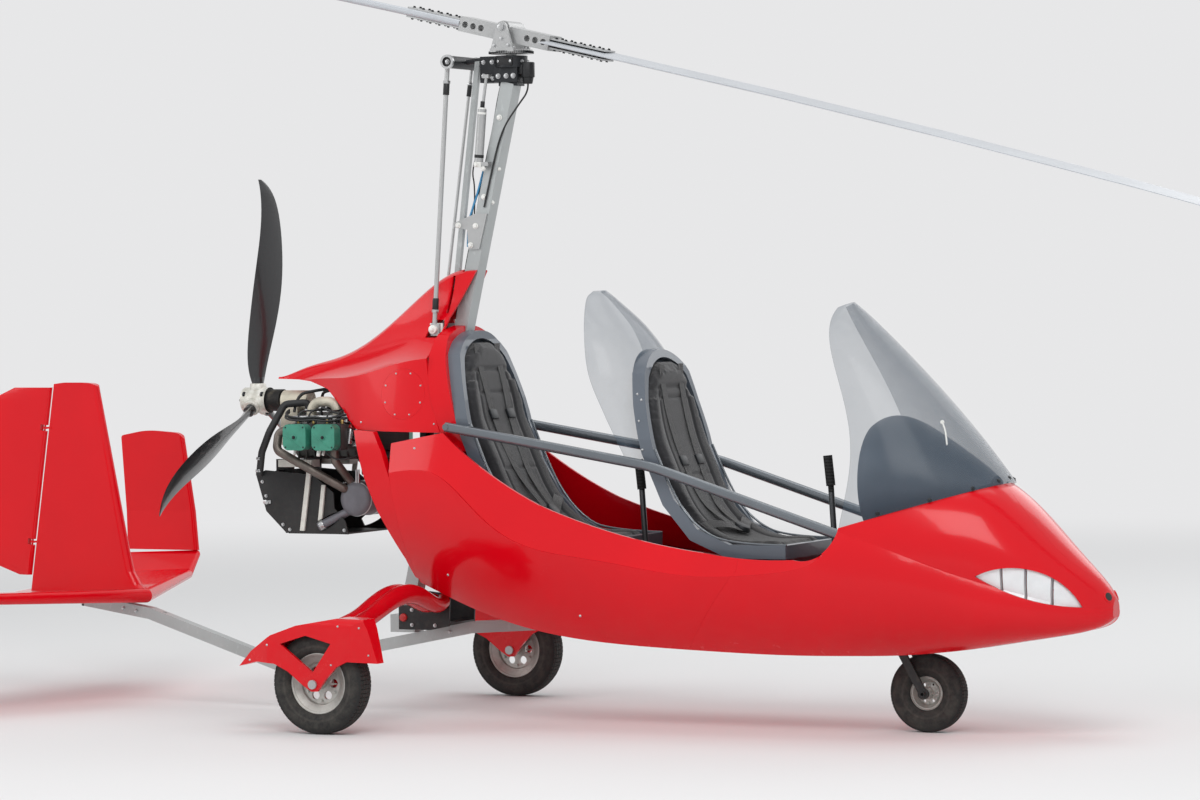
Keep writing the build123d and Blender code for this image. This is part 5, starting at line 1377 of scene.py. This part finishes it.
@dataclass
class Frame(Assembly):
    """Keel, mast, struts and rotor head with their bolts, rod ends and cables."""

    mast_top: tuple[float, float] = (-1, 2422)
    mast_depth: float = 27.0
    lean: float = 12.9
    bolts: tuple[Spot, ...] = (
        (-106, 34, 1989), (-140, 42, 1879), (-162, 42, 1806), (-214, 42, 1882), (-36, 34, 2290), (-196, 34, 1660))
    # Both ends and the radius of each control rod
    rods: tuple[tuple[Spot, Spot, float], ...] = (
        ((-222, -101, 2484), (-285, -112, 1500), 9), ((-222, 101, 2484), (-318, 20, 1500), 6))
    yoke: Spot = (-211, 125, 2504)

    def build(self) -> None:
        """Dresses the frame and adds its fittings."""
        self.dress(Finish.TUBE, "mast", "keel_beam", "mast_strut")
        self.dress(Finish.ALLOY, "mast_bracket", "pitch_rods", "trim_actuator", "main_axles")
        self.dress(Finish.DARK_STEEL, "rotor_head", "nose_fork", "steering_head", "engine_mount", "rear_box")
        self.mast_bolts()
        self.rod_ends()
        self.actuator_ends()
        self.head_cluster()
        self.lines()
        self.rear_lamp()
        self.keel_end()

    def rear_face(self, z: float) -> float:
        """Returns the mast's rear face, its X at a height."""
        (x, top), lean = self.mast_top, math.radians(self.lean)
        return x - (top - z) * math.tan(lean) - self.mast_depth / math.cos(lean)

    def mast_bolts(self) -> None:
        """Adds the bolts on both sides of the mast and its bracket."""
        with self.making(Part("mast_bolts", Finish.WHITE, "bright_steel")) as (piece,):
            piece.bolt_pairs(self.bolts, 8.5)
            for z in (2095, 1968):
                piece.bolt((self.rear_face(z) + 55.4, -20, z), (1, 0, -0.23), 6)

    def rod_ends(self) -> None:
        """Adds sleeves and lock nuts near both ends of the control rods, and the yoke's end rings."""
        ring = ((4, 18.5), (4, 27), (-8, 27.5), (-8, 24.2), (0.2, 24.1), (0.2, 18.5))
        with self.making(Part("rod_end_nuts", Finish.BRIGHT, "bright_steel"),
                         Part("rod_end_sleeves", Finish.BLACK_METAL, "dark_steel")) as (steel, dark):
            for top, foot, radius in self.rods:
                for start, end in ((Vector(top), Vector(foot)), (Vector(foot), Vector(top))):
                    way = (end - start).normalized()
                    steel.rod(start + way * 50, start + way * 62, radius + 5.5, sides=6, bevel=1)
                    dark.rod(start + way * 62, start + way * 105, radius + 3, bevel=1)
            for side in SIDES:
                centre = mirror(side, self.yoke)[0]
                inner = centre - across(side * 4)
                steel.lathe([(side * along, out) for along, out in ring], centre, 40)
                dark.rod(centre - across(side * 12), inner, 18.6, sides=32)
                steel.bolt(inner, across(side), 7)

    def actuator_ends(self) -> None:
        """Adds the trim cylinder's end caps, clamp and wire."""
        low, high = Vector((-117, -56, 2108)), Vector((-98, -56, 2323))
        run = (high - low).normalized()
        with self.making(Part("actuator_caps", Finish.WHITE, "bright_steel"),
                         Part("actuator_bands", Finish.BLACK_METAL, "dark_steel")) as (caps, dark):
            caps.rod(low - run * 6, low + run * 14, 18.5, sides=32, bevel=2)
            caps.rod(high - run * 20, high + run * 6, 18.5, 14, 32, 2)
            caps.bolt(low + Vector((0, -18.5, 4)), RIGHT, 7)
            caps.bolt(low + Vector((24, -8, -12)), (0.2, -1, 0), 7)
            dark.rod(low + run * 30, low + run * 42, 18.2, sides=32, bevel=1)
            dark.rod(high + run * 6, high + run * 30, 8.5, sides=20, bevel=1)
            dark.tube([low + run * 30 + Vector((-16, 4, 0)), low + Vector((-35, 10, -20)),
                       low + Vector((-30, 30, -80)), (self.rear_face(1900) - 8, -20, 1900)], 2.8)

    def head_cluster(self) -> None:
        """Adds the pre-rotator drive in front of the head, and the head's nuts."""
        with self.making(Part("spin_up_drive", Finish.BLACK_METAL, "dark_steel"),
                         Part("head_nuts", Finish.BRIGHT, "bright_steel")) as (dark, steel):
            dark.rod((74, -8, 2440), (74, -8, 2498), 26, sides=36, bevel=3)
            dark.rod((74, -8, 2416), (74, -8, 2440), 17, 22, 28, 2)
            dark.block((44, -30, 2452), (60, 20, 2490), 3)
            dark.block((-30, -62, 2486), (34, -42, 2516), 4)
            dark.rod((30, 52, 2470), (60, 46, 2470), 14, bevel=2)
            for _, cosine, sine in around(8, 0.5):
                steel.bolt((62 * cosine, 62 * sine, 2502), (cosine, sine, 0), 5.5)
            steel.bolt_pairs([(x, 44, 2447) for x in (-34, 0, 30)], 7.5)
            steel.bolt_pairs([(-64, 32, 2440), (-103, 32, 2450), (-103, 32, 2502), (-66, 32, 2502)], 6.5)

    def lines(self) -> None:
        """Runs the blue air tubes and the black cables behind the mast."""
        with self.making(Part("blue_air_tubes", Finish.BLUE_HOSE, "hose_black"),
                         Part("mast_cables", Finish.HOSE, "hose_black")) as (blue, black):
            for i, y in enumerate((-24, -12, 2)):
                run = ((2090 - 26 * i, 8), (2000, 14 + 9 * i), (1930, 26 + 6 * i), (1880, 30), (1800, 12))
                blue.tube([(self.rear_face(z) - gap, y, z) for z, gap in run], 4.2)
            for y, high, gap in ((-10, 2440, 7), (6, 2450, 9), (18, 2436, 6)):
                heights = (high, 2380, 2250, 2100, 1900, 1760, 1600, 1530)
                black.tube([(self.rear_face(z) - gap - 6 * (i % 2), y, z) for i, z in enumerate(heights)], 3.8)
            black.tube([(74, -8, 2418), (76, -10, 2388), (46, -30, 2340), (-20, -38.5, 2250), (-60, -38.5, 2130),
                        (-104, -38.5, 1950)], 3.5)

    def rear_lamp(self) -> None:
        """Adds the small lamp and the fixing bolts on the box below the hull's rear."""
        with self.making(Part("rear_lamp", Finish.RED_CAP, "lamp_white"),
                         Part("rear_box_bolts", Finish.BRIGHT, "bright_steel")) as (lamp, steel):
            lamp.rod_pairs([((-436, 109, 380), (-436, 118, 380), 17, 14, 28, 2)])
            steel.bolt_pairs([(-400, 109, 410), (-400, 109, 352), (-300, 109, 420), (-262, 109, 455),
                              (-300, 109, 352)], 5.5)

    def keel_end(self) -> None:
        """Adds the black plug in the keel's rear end and the bolts under the tail."""
        end, before, half = Vector((-1935, 0, 410)), Vector((-1630, 0, 363)), Vector((6, 23.5, 23.5))
        out = (end - before).normalized()
        centre = end + out * 2
        with self.making(Part("keel_end_plug", Finish.BLACK_METAL, "hose_black"),
                         Part("keel_bolts", Finish.BRIGHT, "bright_steel")) as (plug, steel):
            plug.block(centre - half, centre + half, 2, Matrix.Rotation(math.atan2(-out.z, out.x), 4, "Y"))
            steel.bolt_pairs([(-1750, 22.5, 382), (-1690, 22.5, 372), (-1120, 22.5, 196), (-960, 22.5, 188),
                              (-280, 22.5, 322)], 6.5)


@dataclass
class Rotor(Assembly):
    """Rotor hub, towers and blades."""

    teeter_z: float = 2630.0
    tilt: float = 13.2
    sling: float = 22.0
    strap: float = 20.3
    teeth: int = 72
    ring_z: float = 2537.0
    ring_radius: float = 83.5

    def build(self) -> None:
        """Dresses the rotor and adds the ring gear's teeth and the hub's bolts."""
        self.dress(Finish.BLADE, "rotor_blades")
        self.dress(Finish.ALLOY, "rotor_towers", "hub_bar")
        self.ring_teeth()
        self.strap_bolts()
        self.tower_bolts()

    def ring_teeth(self) -> None:
        """Sets the ring gear's teeth round its edge."""
        centre, half, taper = Vector((0, 0, self.ring_z)), Vector((3, 1.8, 4.5)), (0.55, 0.55, 1)
        hub = self.layout.at(centre)
        with self.making(Part("ring_gear_teeth", Finish.DARK_STEEL, "dark_steel", body="rotor_mast_head")) as (piece,):
            for turn, cosine, sine in around(self.teeth):
                spot = centre + Vector((cosine, sine, 0)) * self.ring_radius
                verts = piece.block(spot - half, spot + half, turn=Matrix.Rotation(turn, 4, "Z"))
                outer = sorted(verts, key=lambda v: -(v.co - hub).length)[:4]
                middle = sum((v.co for v in outer), Vector()) / 4
                bmesh.ops.scale(piece.mesh, verts=outer, vec=taper, space=Matrix.Translation(-middle))

    def strap_bolts(self) -> None:
        """Adds two rows of bolts on each strap that holds a blade."""
        turn, origin = Matrix.Rotation(math.radians(self.tilt), 4, "Y"), Vector((0, 0, self.teeter_z))
        with self.making(Part("strap_bolts", Finish.DARK_STEEL, "bright_steel", body="rotor")) as (piece,):
            for end, i, y, face in product(SIDES, range(6), (-25, 25), SIDES):
                spot = Vector((end * (212 + 40 * i), y, face * self.strap - self.sling))
                piece.bolt(origin + turn @ spot, turn @ UP * face, 5.2)

    def tower_bolts(self) -> None:
        """Adds the teeter bolt's nuts and the bolts that hold the towers to the ring."""
        z = self.teeter_z
        with self.making(Part("tower_bolts", Finish.BRIGHT, "bright_steel", body="rotor_mast_head")) as (piece,):
            piece.rod_pairs([((0, 82, z), (0, 83.5, z), 15.5, None, 28, 0),
                             ((0, 83.5, z), (0, 91.5, z), 13.5, None, 6, 1.2)])
            piece.bolt_pairs([(-30, 82, 2562), (0, 82, 2588), (30, 82, 2562)], 5.5)
            for x, y in product((-34, 34), (-48, 48)):
                piece.bolt((x, y, 2551), UP, 6.5)


@dataclass
class EngineBay(Assembly):
    """Flat four-cylinder engine, exhaust, cooling and propeller."""

    crank: float = 1078.0
    rear: float = -925.0
    front: float = -545.0
    cylinders: tuple[float, float] = (-842, -716)
    width: float = 104.0
    cover_face: float = 318.0
    intakes: tuple[float, float] = (-792, -677)
    hub: Spot = (-1130, 0, 1212)
    muffler: tuple[float, float] = (-607, 836)

    def build(self) -> None:
        """Dresses the engine and its propeller, and adds what is bolted to them."""
        self.dress(Finish.COVER, "valve_covers")
        self.dress(Finish.CAST, "gearbox", "intake_tubes")
        self.dress(Finish.EXHAUST, "exhaust_pipes")
        self.dress(Finish.MUFFLER, "muffler")
        self.dress(Finish.HOSE, "coolant_hoses")
        self.dress(Finish.BLACK_METAL, "radiator")
        self.dress(Finish.BRACE, "radiator_braces")
        self.dress(ClampAndFlange("clamp_and_flange").build(self.layout.at(self.hub)), "propeller_hub")
        self.dress(Lacquer("propeller_lacquer").build(self.layout.at(self.hub)), "propeller_blades")
        self.crankcase()
        self.barrels()
        self.cover_trim()
        self.leads()
        self.fittings()
        self.clamps()
        self.muffler_trim()
        self.radiator_core()
        self.hub_bolts()

    def crankcase(self) -> None:
        """Builds the case with its deck pads, ribs, end plates and split-line bolts."""
        rear, front, z, ring = self.rear, self.front, self.crank, 78
        with self.making(Part("crankcase", Finish.CASE, "engine_alloy", ("engine_block",)),
                         Part("crankcase_bolts", Finish.BRIGHT, "bright_steel")) as (case, steel):
            case.block((rear + 16, -108, z - 84), (front - 22, 108, z + 72), 16)
            case.rod((rear, 0, z), (rear + 18, 0, z), 88, sides=48, bevel=3)
            case.rod((front - 30, 0, z - 4), (front, 0, z - 4), 80, 74, 48, 5)
            case.block((-850, -70, z - 92), (-640, 70, z - 80), 5)
            case.block((-870, -58, z + 66), (-600, 58, z + 88), 6)
            case.block_pairs([((x - 3, 100, z - 47), (x + self.width + 3, 150, z + 47), 4) for x in self.cylinders])
            ribs = [rear + 34 + 36 * i for i in range(9)]
            case.block_pairs([((x, 60, z + low), (x + 5, 114, z + high), 1.5)
                              for x, (low, high) in product(ribs, ((58, 80), (-90, -60)))])
            for i, side in product(range(7), SIDES):
                steel.bolt((rear + 50 + 48 * i, side * 44, z + 88), UP, 5)
            for turn, cosine, sine in around(10):
                if abs(ring * cosine) > 56 or turn > math.pi:
                    steel.bolt((rear, ring * cosine, z + ring * sine), BACK, 5)

    def barrels(self) -> None:
        """Builds the finned cylinders and their heads."""
        z, deck, head = self.crank, 211, 267.5
        with self.making(Part("finned_cylinders", Finish.CASE, "engine_alloy", ("cylinder_heads",))) as (piece,):
            for x in self.cylinders:
                end, middle = x + self.width, x + self.width / 2
                fins = [((x + 1, 154 + 9.5 * i, z - 47), (end - 1, 157.2 + 9.5 * i, z + 47), 0.8) for i in range(6)]
                ribs = [((x + 16 + 24 * i, deck, z + low), (x + 20 + 24 * i, head, z + low + 5), 1)
                        for i, low in product(range(4), (47, -52))]
                piece.rod_pairs([((middle, 150.3, z), (middle, 212, z), 43, None, 40)])
                piece.block_pairs([((x, deck, z - 50), (end, head, z + 50), 7)])
                piece.block_pairs(fins + ribs, segments=1)

    def cover_trim(self) -> None:
        """Adds each cover's gasket, centre boss, raised rib and screws."""
        z, rib_foot, rib_run = self.crank, Vector((12, 0, 8)), Vector((self.width - 38, 0, -48))
        half, turn = Vector((rib_run.length / 2, 2, 2.2)), Matrix.Rotation(math.atan2(-rib_run.z, rib_run.x), 4, "Y")
        with self.making(Part("cover_gaskets", Finish.BLACK_METAL, "hose_black"),
                         Part("cover_ribs", Finish.COVER, "cover_green"),
                         Part("cover_screws", Finish.DARK_STEEL, "dark_steel")) as (gasket, rib, steel):
            gasket.block_pairs([((x, 266, z - 51), (x + self.width, 270, z + 51), 1.2) for x in self.cylinders])
            for x, side in product(self.cylinders, SIDES):
                out, corner = across(side), Vector((x, side * self.cover_face, z))
                middle = corner + Vector((self.width / 2, 0, 0))
                rib.rod(middle - out, middle + out * 4, 11, 9, 28, 1)
                steel.bolt(middle + out * 4, out, 5)
                centre = corner + rib_foot + rib_run / 2
                rib.block(centre - half, centre + half, 1, turn)
                for along, up in product((14, 90), (-38, 38)):
                    steel.screw(corner + Vector((along, 0, up)), out, 4.2)

    def leads(self) -> None:
        """Runs the plug leads, fuel hoses and sensor wires over the cylinders."""
        with self.making(Part("plug_leads", Finish.HOSE, "hose_black"),
                         Part("fuel_hoses", Finish.HOSE, "hose_black")) as (black, fuel):
            for (i, start), (k, along) in product(enumerate(self.cylinders), enumerate((30, 70))):
                x, y = start + along, 244 - 10 * k
                black.rod_pairs([((x, y, 1126), (x, y, 1148), 6.5, None, 16, 1)])
                black.tube_pair([(x, y, 1144), (x, y, 1175), (x + 30, 200 - 20 * k, 1178 + 8 * k),
                                 (-640 - 30 * i, 120, 1180 + 10 * k), (-620 - 20 * i, 66, 1196 - 8 * k)], 3.6)
            for y, z, far in ((258, 1138, 1150), (250, 1148, 1166), (236, 1142, 1134)):
                black.tube_pair([(-905, 150, z + 30), (-880, y, z + 12), (-800, y, z), (-740, y - 6, z + 7),
                                 (-680, y, z - 2), (-610, y - 24, far), (-566, 150, far + 10)], 4.2)
            fuel.tube_pair([(-740, 180, 1150), (-735, 215, 1196), (-690, 230, 1180), (-640, 220, 1164),
                            (-604, 190, 1160)], 4.5)
            black.tube_pair([(-668, 292, 1030), (-660, 286, 1004), (-610, 250, 985), (-565, 200, 1010)], 3.5)
            black.tube_pair([(-900, 120, 1170), (-905, 90, 1236), (-840, 70, 1250), (-760, 40, 1262),
                             (-650, 40, 1240)], 6)

    def fittings(self) -> None:
        """Adds the injector rail, sensors, plugs, canisters, cap and filter beside the cylinders."""
        with self.making(Part("rail_and_canisters", Finish.BRIGHT, "bright_steel"),
                         Part("white_plugs", Finish.WHITE, "lamp_white"),
                         Part("red_caps", Finish.RED_CAP, "red_shell"),
                         Part("brass_unions", Finish.BRASS, "bright_steel"),
                         Part("oil_filter", Finish.BLACK_METAL, "dark_steel")) as (steel, white, red, brass, dark):
            for x in self.cylinders:
                for k in (x + 18, x + 84):
                    steel.rod_pairs([((k, 208, 1128), (k, 208, 1152), 6.8, None, 18, 1)])
                    brass.rod_pairs([((k + 16, 250, 1128), (k + 16, 250, 1144), 5.5, None, 6, 0.8)])
                white.rod_pairs([((x + 52, 222, 1128), (x + 50, 222, 1148), 7.5, None, 20, 1),
                                 ((x + 20, 252, 1026), (x + 20, 262, 1008), 5.8, None, 16, 1)])
            steel.rod_pairs([((-856, 212, 1150), (-600, 212, 1156), 7.5, None, 20, 1),
                             ((-623, 206, 1132), (-623, 200, 1178), 14.5, 12.5, 28, 2),
                             ((-612, 206, 1050), (-606, 200, 1108), 11.5, None, 28, 2),
                             ((-588, 196, 1066), (-582, 192, 1120), 8.5, None, 24, 2)])
            red.rod_pairs([((-601, 206, 1110), (-600, 200, 1124), 12.5, 10.5, 24, 2)])
            white.rod_pairs([((-696, 290, 1028), (-696, 300, 1006), 8.5, 7, 24, 1.5)])
            steel.block_pairs([((-634, 150, 1040), (-580, 188, 1060), 3), ((-634, 150, 1128), (-600, 196, 1134), 2)])
            dark.rod((-600, -60, 1000), (-600, -60, 925), 34, sides=40, bevel=5)

    def clamps(self) -> None:
        """Adds bands on the coolant hose and intake pipes, and the radiator's clip and cap."""
        with self.making(Part("hose_clamps", Finish.BRIGHT, "bright_steel")) as (piece,):
            for low, high, radius in (((-850, -95, 1169), (-850, -95, 1180), 15.4),
                                      ((-1018, -192, 938), (-1018, -192, 949), 15.4),
                                      ((-1014, -192, 985), (-1013, -192, 996), 15.2)):
                x, y, z = low
                piece.rod(low, high, radius, sides=36, bevel=1)
                piece.block((x - 7, y - 20, z + 1), (x + 7, y - 14, z + 10), 1.5)
            piece.rod_pairs([((x, 175, 1136), (x, 175, 1146), 21.2, None, 40, 1) for x in self.intakes])
            piece.rod((-993, -177, 821), (-993, -186, 821), 9, sides=20, bevel=1.5)
            piece.block((-1010, -181, 815), (-976, -177, 829), 1.5)
            for x, z in ((-1014, 900), (-998, 845), (-924, 735), (-894, 716), (-654, 716)):
                piece.bolt((x, -177, z), RIGHT, 5)

    def muffler_trim(self) -> None:
        """Adds the silencer's domed ends, bands, hanger, springs and collars."""
        x, z = self.muffler
        dome = ((0, 65.2), (4, 65.2), (9, 60), (14, 46), (17, 26), (18, 0), (0, 0))
        with self.making(Part("silencer_ends", Finish.MUFFLER, "exhaust_steel"),
                         Part("silencer_bands", Finish.BRIGHT, "bright_steel")) as (body, steel):
            for side in SIDES:
                body.lathe([(side * along, out) for along, out in dome], (x, side * 165, z), 56)
            steel.rod_pairs([((x, 158, z), (x, 164, z), 66.7, None, 56, 1),
                             ((x, 60, z), (x, 72, z), 66.4, None, 56, 1)])
            for spring in (x + 4, x + 14):
                steel.rod((spring, -168, z + 62), (spring - 2, -164, z + 114), 4.2, sides=14)
            steel.rod((x - 62, -150, z + 62), (x + 52, -150, z + 74), 3.5, sides=12)
            steel.rod((-756, -186.6, 731.2), (-740, -181, 739), 19.2, sides=36, bevel=1)

    def radiator_core(self) -> None:
        """Adds the finned core between the radiator's cheeks."""
        centre, half = Vector((-932, 0, 820)), Vector((26.5, 169, 117))
        with self.making(Part("radiator_fins", Finish.CORE, "radiator_black")) as (piece,):
            piece.block(centre - half, centre + half, 1, Matrix.Rotation(math.radians(-20.2), 4, "Y"))

    def hub_bolts(self) -> None:
        """Adds the clamp bolts on the propeller's hub and beside each blade root."""
        centre = Vector(self.hub)
        back, alloy = centre + BACK * 55, ClampAndFlange("socket_alloy").build(self.layout.at(centre))
        with self.making(Part("hub_bolts", Finish.DARK_STEEL, "dark_steel", body="propeller"),
                         Part("blade_sockets", alloy, "hub_alloy", body="propeller")) as (bolts, sockets):
            bolts.rod(back + BACK * 6, back, 17, sides=32, bevel=2)
            for _, cosine, sine in around(6, 0.5):
                bolts.bolt(back + Vector((0, sine, cosine)) * 36, BACK, 6.2)
            for _, cosine, sine in around(3):
                out, level = Vector((0, -sine, cosine)), Vector((0, cosine, sine))
                sockets.rod(centre + out * 30, centre + out * 66, 33.5, 31, 40, 3)
                for way, x in product(SIDES, (-40, 40)):
                    bolts.bolt(centre + out * 26 + level * way * 40 + Vector((x, 0, 0)), out * 0.5 + level * way, 6)


@dataclass
class Dash(Assembly):
    """Instrument pod with its dials, screen, switches and edge screws."""

    face: float = 1490.0
    dials: tuple[tuple[float, float, float], ...] = (
        (-62, 985, 42), (62, 985, 42), (0, 1075, 28), (-85, 888, 30), (0, 888, 30), (85, 888, 30))
    edge_screws: tuple[tuple[float, float], ...] = ((138, 790), (176, 940), (120, 1058))
    switch_z: float = 794.0

    def build(self) -> None:
        """Dresses the dash and mounts its instruments."""
        self.dress(Finish.POD, "dash")
        self.instruments()
        self.switches()

    def instruments(self) -> None:
        """Adds the dials' bezels, faces, ticks and pointers."""
        with self.making(Part("dial_bezels", Finish.BLACK_METAL, "dark_panel"),
                         Part("dial_faces", Finish.GAUGE, "dark_panel"),
                         Part("dial_marks", Finish.WHITE, "lamp_white")) as (bezels, faces, marks):
            for y, z, r in self.dials:
                centre = Vector((self.face, y, z))
                bezels.lathe([(0, r), (-6, r), (-7.5, r * 0.97), (-7.5, r * 0.9), (-4, r * 0.86), (0, r * 0.86)],
                             centre, 48, axis="X")
                faces.rod(centre, centre + BACK * 3, r * 0.87, sides=40)
                half = Vector((0.3, 0.6, r * 0.07))
                for turn, cosine, sine in around(12):
                    spot = centre + Vector((-3.3, sine * r * 0.72, cosine * r * 0.72))
                    marks.block(spot - half, spot + half, turn=Matrix.Rotation(-turn, 4, "X"))
                tip, base = Vector((0, math.sin(4 + y), math.cos(4 + y))) * r * 0.6, centre + BACK * 3.8
                marks.rod(base - tip * 0.2, base + tip, 1.2, 0.5, 8)

    def switches(self) -> None:
        """Adds the radio's display, its knobs, the switch row and the pod's edge screws."""
        face, row = self.face, self.switch_z
        with self.making(Part("radio_display", Finish.GAUGE, "dark_panel"),
                         Part("switch_knobs", Finish.BRIGHT, "bright_steel")) as (display, knobs):
            display.block((face - 4, -80, 815), (face, 80, 848), 2)
            knobs.rod_pairs([((face, 96, 831), (face - 16, 96, 831), 9, 7.5, 24, 1.5)])
            for y in range(-72, 73, 24):
                knobs.rod((face, y, row), (face - 5, y, row), 6, sides=6, bevel=1)
                knobs.rod((face - 5, y, row), (face - 20, y, row + 6), 2.2, 3.4, 14, 0.6)
            for (y, z), side in product(self.edge_screws, SIDES):
                knobs.screw((face, side * y, z), BACK, 4.5)


@dataclass(frozen=True)
class Viewpoint:
    """The photograph's viewing place and direction, in metres and degrees, and its lens and width in pixels."""

    x: float = 7.48647
    y: float = -14.86305
    z: float = 1.62431
    yaw: float = 25.620
    pitch: float = -1.4273
    roll: float = -0.6335
    focal: float = 4360.3
    width: float = 1200.0
    sensor: float = 36.0
    sight: float = 400.0

    def build(self, shift: float) -> None:
        """Makes the scene's camera.

        Args:
            shift: How far the row frame is moved from the drawing along X.
        """
        yaw, pitch, roll = (math.radians(a) for a in (self.yaw, self.pitch, self.roll))
        ahead = Vector((-math.sin(yaw) * math.cos(pitch), math.cos(yaw) * math.cos(pitch), math.sin(pitch)))
        level = Vector((math.cos(yaw), math.sin(yaw), 0.0))
        upright = level.cross(ahead)
        right = level * math.cos(roll) + upright * math.sin(roll)
        up = upright * math.cos(roll) - level * math.sin(roll)
        lens = bpy.data.cameras.new("viewpoint")
        lens.sensor_width = self.sensor
        lens.lens = self.focal / self.width * self.sensor
        lens.clip_end = self.sight
        camera = bpy.data.objects.new("viewpoint", lens)
        turn = Matrix((right, up, -ahead)).transposed().to_4x4()
        camera.matrix_world = Matrix.Translation((self.x + shift, self.y, self.z)) @ turn
        bpy.context.scene.collection.objects.link(camera)
        bpy.context.scene.camera = camera


@dataclass(frozen=True)
class Softbox:
    """One large lamp: its place, what it points at, its size and its power, in metres and watts."""

    name: str
    place: Spot
    target: Spot
    size: float
    power: float

    def build(self) -> None:
        """Hangs the lamp."""
        lamp = bpy.data.lights.new(self.name, "AREA")
        lamp.shape, lamp.size, lamp.energy = "SQUARE", self.size, self.power
        holder = bpy.data.objects.new(self.name, lamp)
        run = Vector(self.target) - Vector(self.place)
        holder.matrix_world = Matrix.Translation(self.place) @ run.to_track_quat("-Z", "Y").to_matrix().to_4x4()
        bpy.context.scene.collection.objects.link(holder)


@dataclass(frozen=True)
class Studio:
    """A pale floor, an even pale surround and soft lamps."""

    backdrop: Rgb = (0.8, 0.8, 0.8 * 1.01)
    ambient: float = 0.56
    ambient_tint: Rgb = (0.97, 0.985, 1.0)
    floor_radius: float = 90.0
    boxes: tuple[Softbox, ...] = (
        Softbox("key", (5.0, -9.0, 9.5), (0.0, 0.0, 0.9), 7.0, 720.0),
        Softbox("fill", (-9.0, -7.0, 5.5), (-0.5, 0.0, 0.9), 6.0, 230.0),
        Softbox("top", (0.5, 2.0, 10.0), (0.0, 0.0, 1.0), 7.0, 200.0),
        Softbox("back", (3.0, 9.0, 6.0), (0.0, 0.0, 1.0), 6.0, 150.0),
    )

    def build(self) -> None:
        """Sets the stage."""
        for box in self.boxes:
            box.build()
        self.surround()
        self.floor()
        bpy.context.scene.view_settings.view_transform = "Standard"

    def surround(self) -> None:
        """Makes the world: the pale backdrop for what is seen, reflected or seen through, softer light for the rest."""
        world = bpy.data.worlds.new("surround")
        bpy.context.scene.world = world
        world.use_nodes = True
        tree = world.node_tree
        tree.nodes.clear()
        path, seen, light, mix, out = (tree.nodes.new("ShaderNode" + kind) for kind in (
            "LightPath", "Background", "Background", "MixShader", "OutputWorld"))
        seen.inputs["Color"].default_value = (*self.backdrop, 1.0)
        light.inputs["Color"].default_value = (*self.ambient_tint, 1.0)
        light.inputs["Strength"].default_value = self.ambient
        shown = path.outputs["Is Camera Ray"]
        for name in ("Is Glossy Ray", "Is Transmission Ray"):
            either = tree.nodes.new("ShaderNodeMath")
            either.operation = "MAXIMUM"
            tree.links.new(shown, either.inputs[0])
            tree.links.new(path.outputs[name], either.inputs[1])
            shown = either.outputs[0]
        for source, target in ((shown, mix.inputs[0]), (light.outputs[0], mix.inputs[1]),
                               (seen.outputs[0], mix.inputs[2]), (mix.outputs[0], out.inputs["Surface"])):
            tree.links.new(source, target)

    def floor(self) -> None:
        """Lays the pale floor, which fades into the backdrop far away."""
        shader = Shader("studio_floor")
        far = shader.axis("X").hypot(shader.axis("Y")).step(5.5, 15.0)
        shader.set(Base_Color=(0.8, 0.8, 0.8), Roughness=0.9, Specular_IOR_Level=0.1)
        glow = shader.node("ShaderNodeEmission", {}, {"Color": self.backdrop})
        both = shader.node("ShaderNodeMixShader", {}, {0: far, 1: shader.surface, 2: glow})
        out = next(n for n in shader.tree.nodes if n.type == "OUTPUT_MATERIAL")
        shader.feed(out.inputs["Surface"], both)
        mesh = bmesh.new()
        bmesh.ops.create_circle(mesh, cap_ends=True, segments=96, radius=self.floor_radius)
        data = bpy.data.meshes.new("studio_floor")
        mesh.to_mesh(data)
        mesh.free()
        data.materials.append(shader.material)
        floor = bpy.data.objects.new("studio_floor", data)
        bpy.context.scene.collection.objects.link(floor)


def main() -> None:
    """Loads the frame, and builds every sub-assembly and the studio."""
    logging.basicConfig(level=logging.INFO, format="%(name)s: %(message)s")
    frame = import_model()
    low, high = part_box("nose_tyre")
    layout = Layout((low.x + high.x) / 2 - MM * Wheels.sizes[-1].x)
    book = FinishBook()
    Viewpoint().build(layout.shift)
    for kind in (Shell, Frame, Rotor, EngineBay, Dash, Wheels, Seats):
        LOG.info("building %s", kind.__name__)
        kind(layout, book, frame["nodes"]).build()
    Studio().build()
    bpy.context.view_layer.update()


if __name__ == "__main__":
    main()
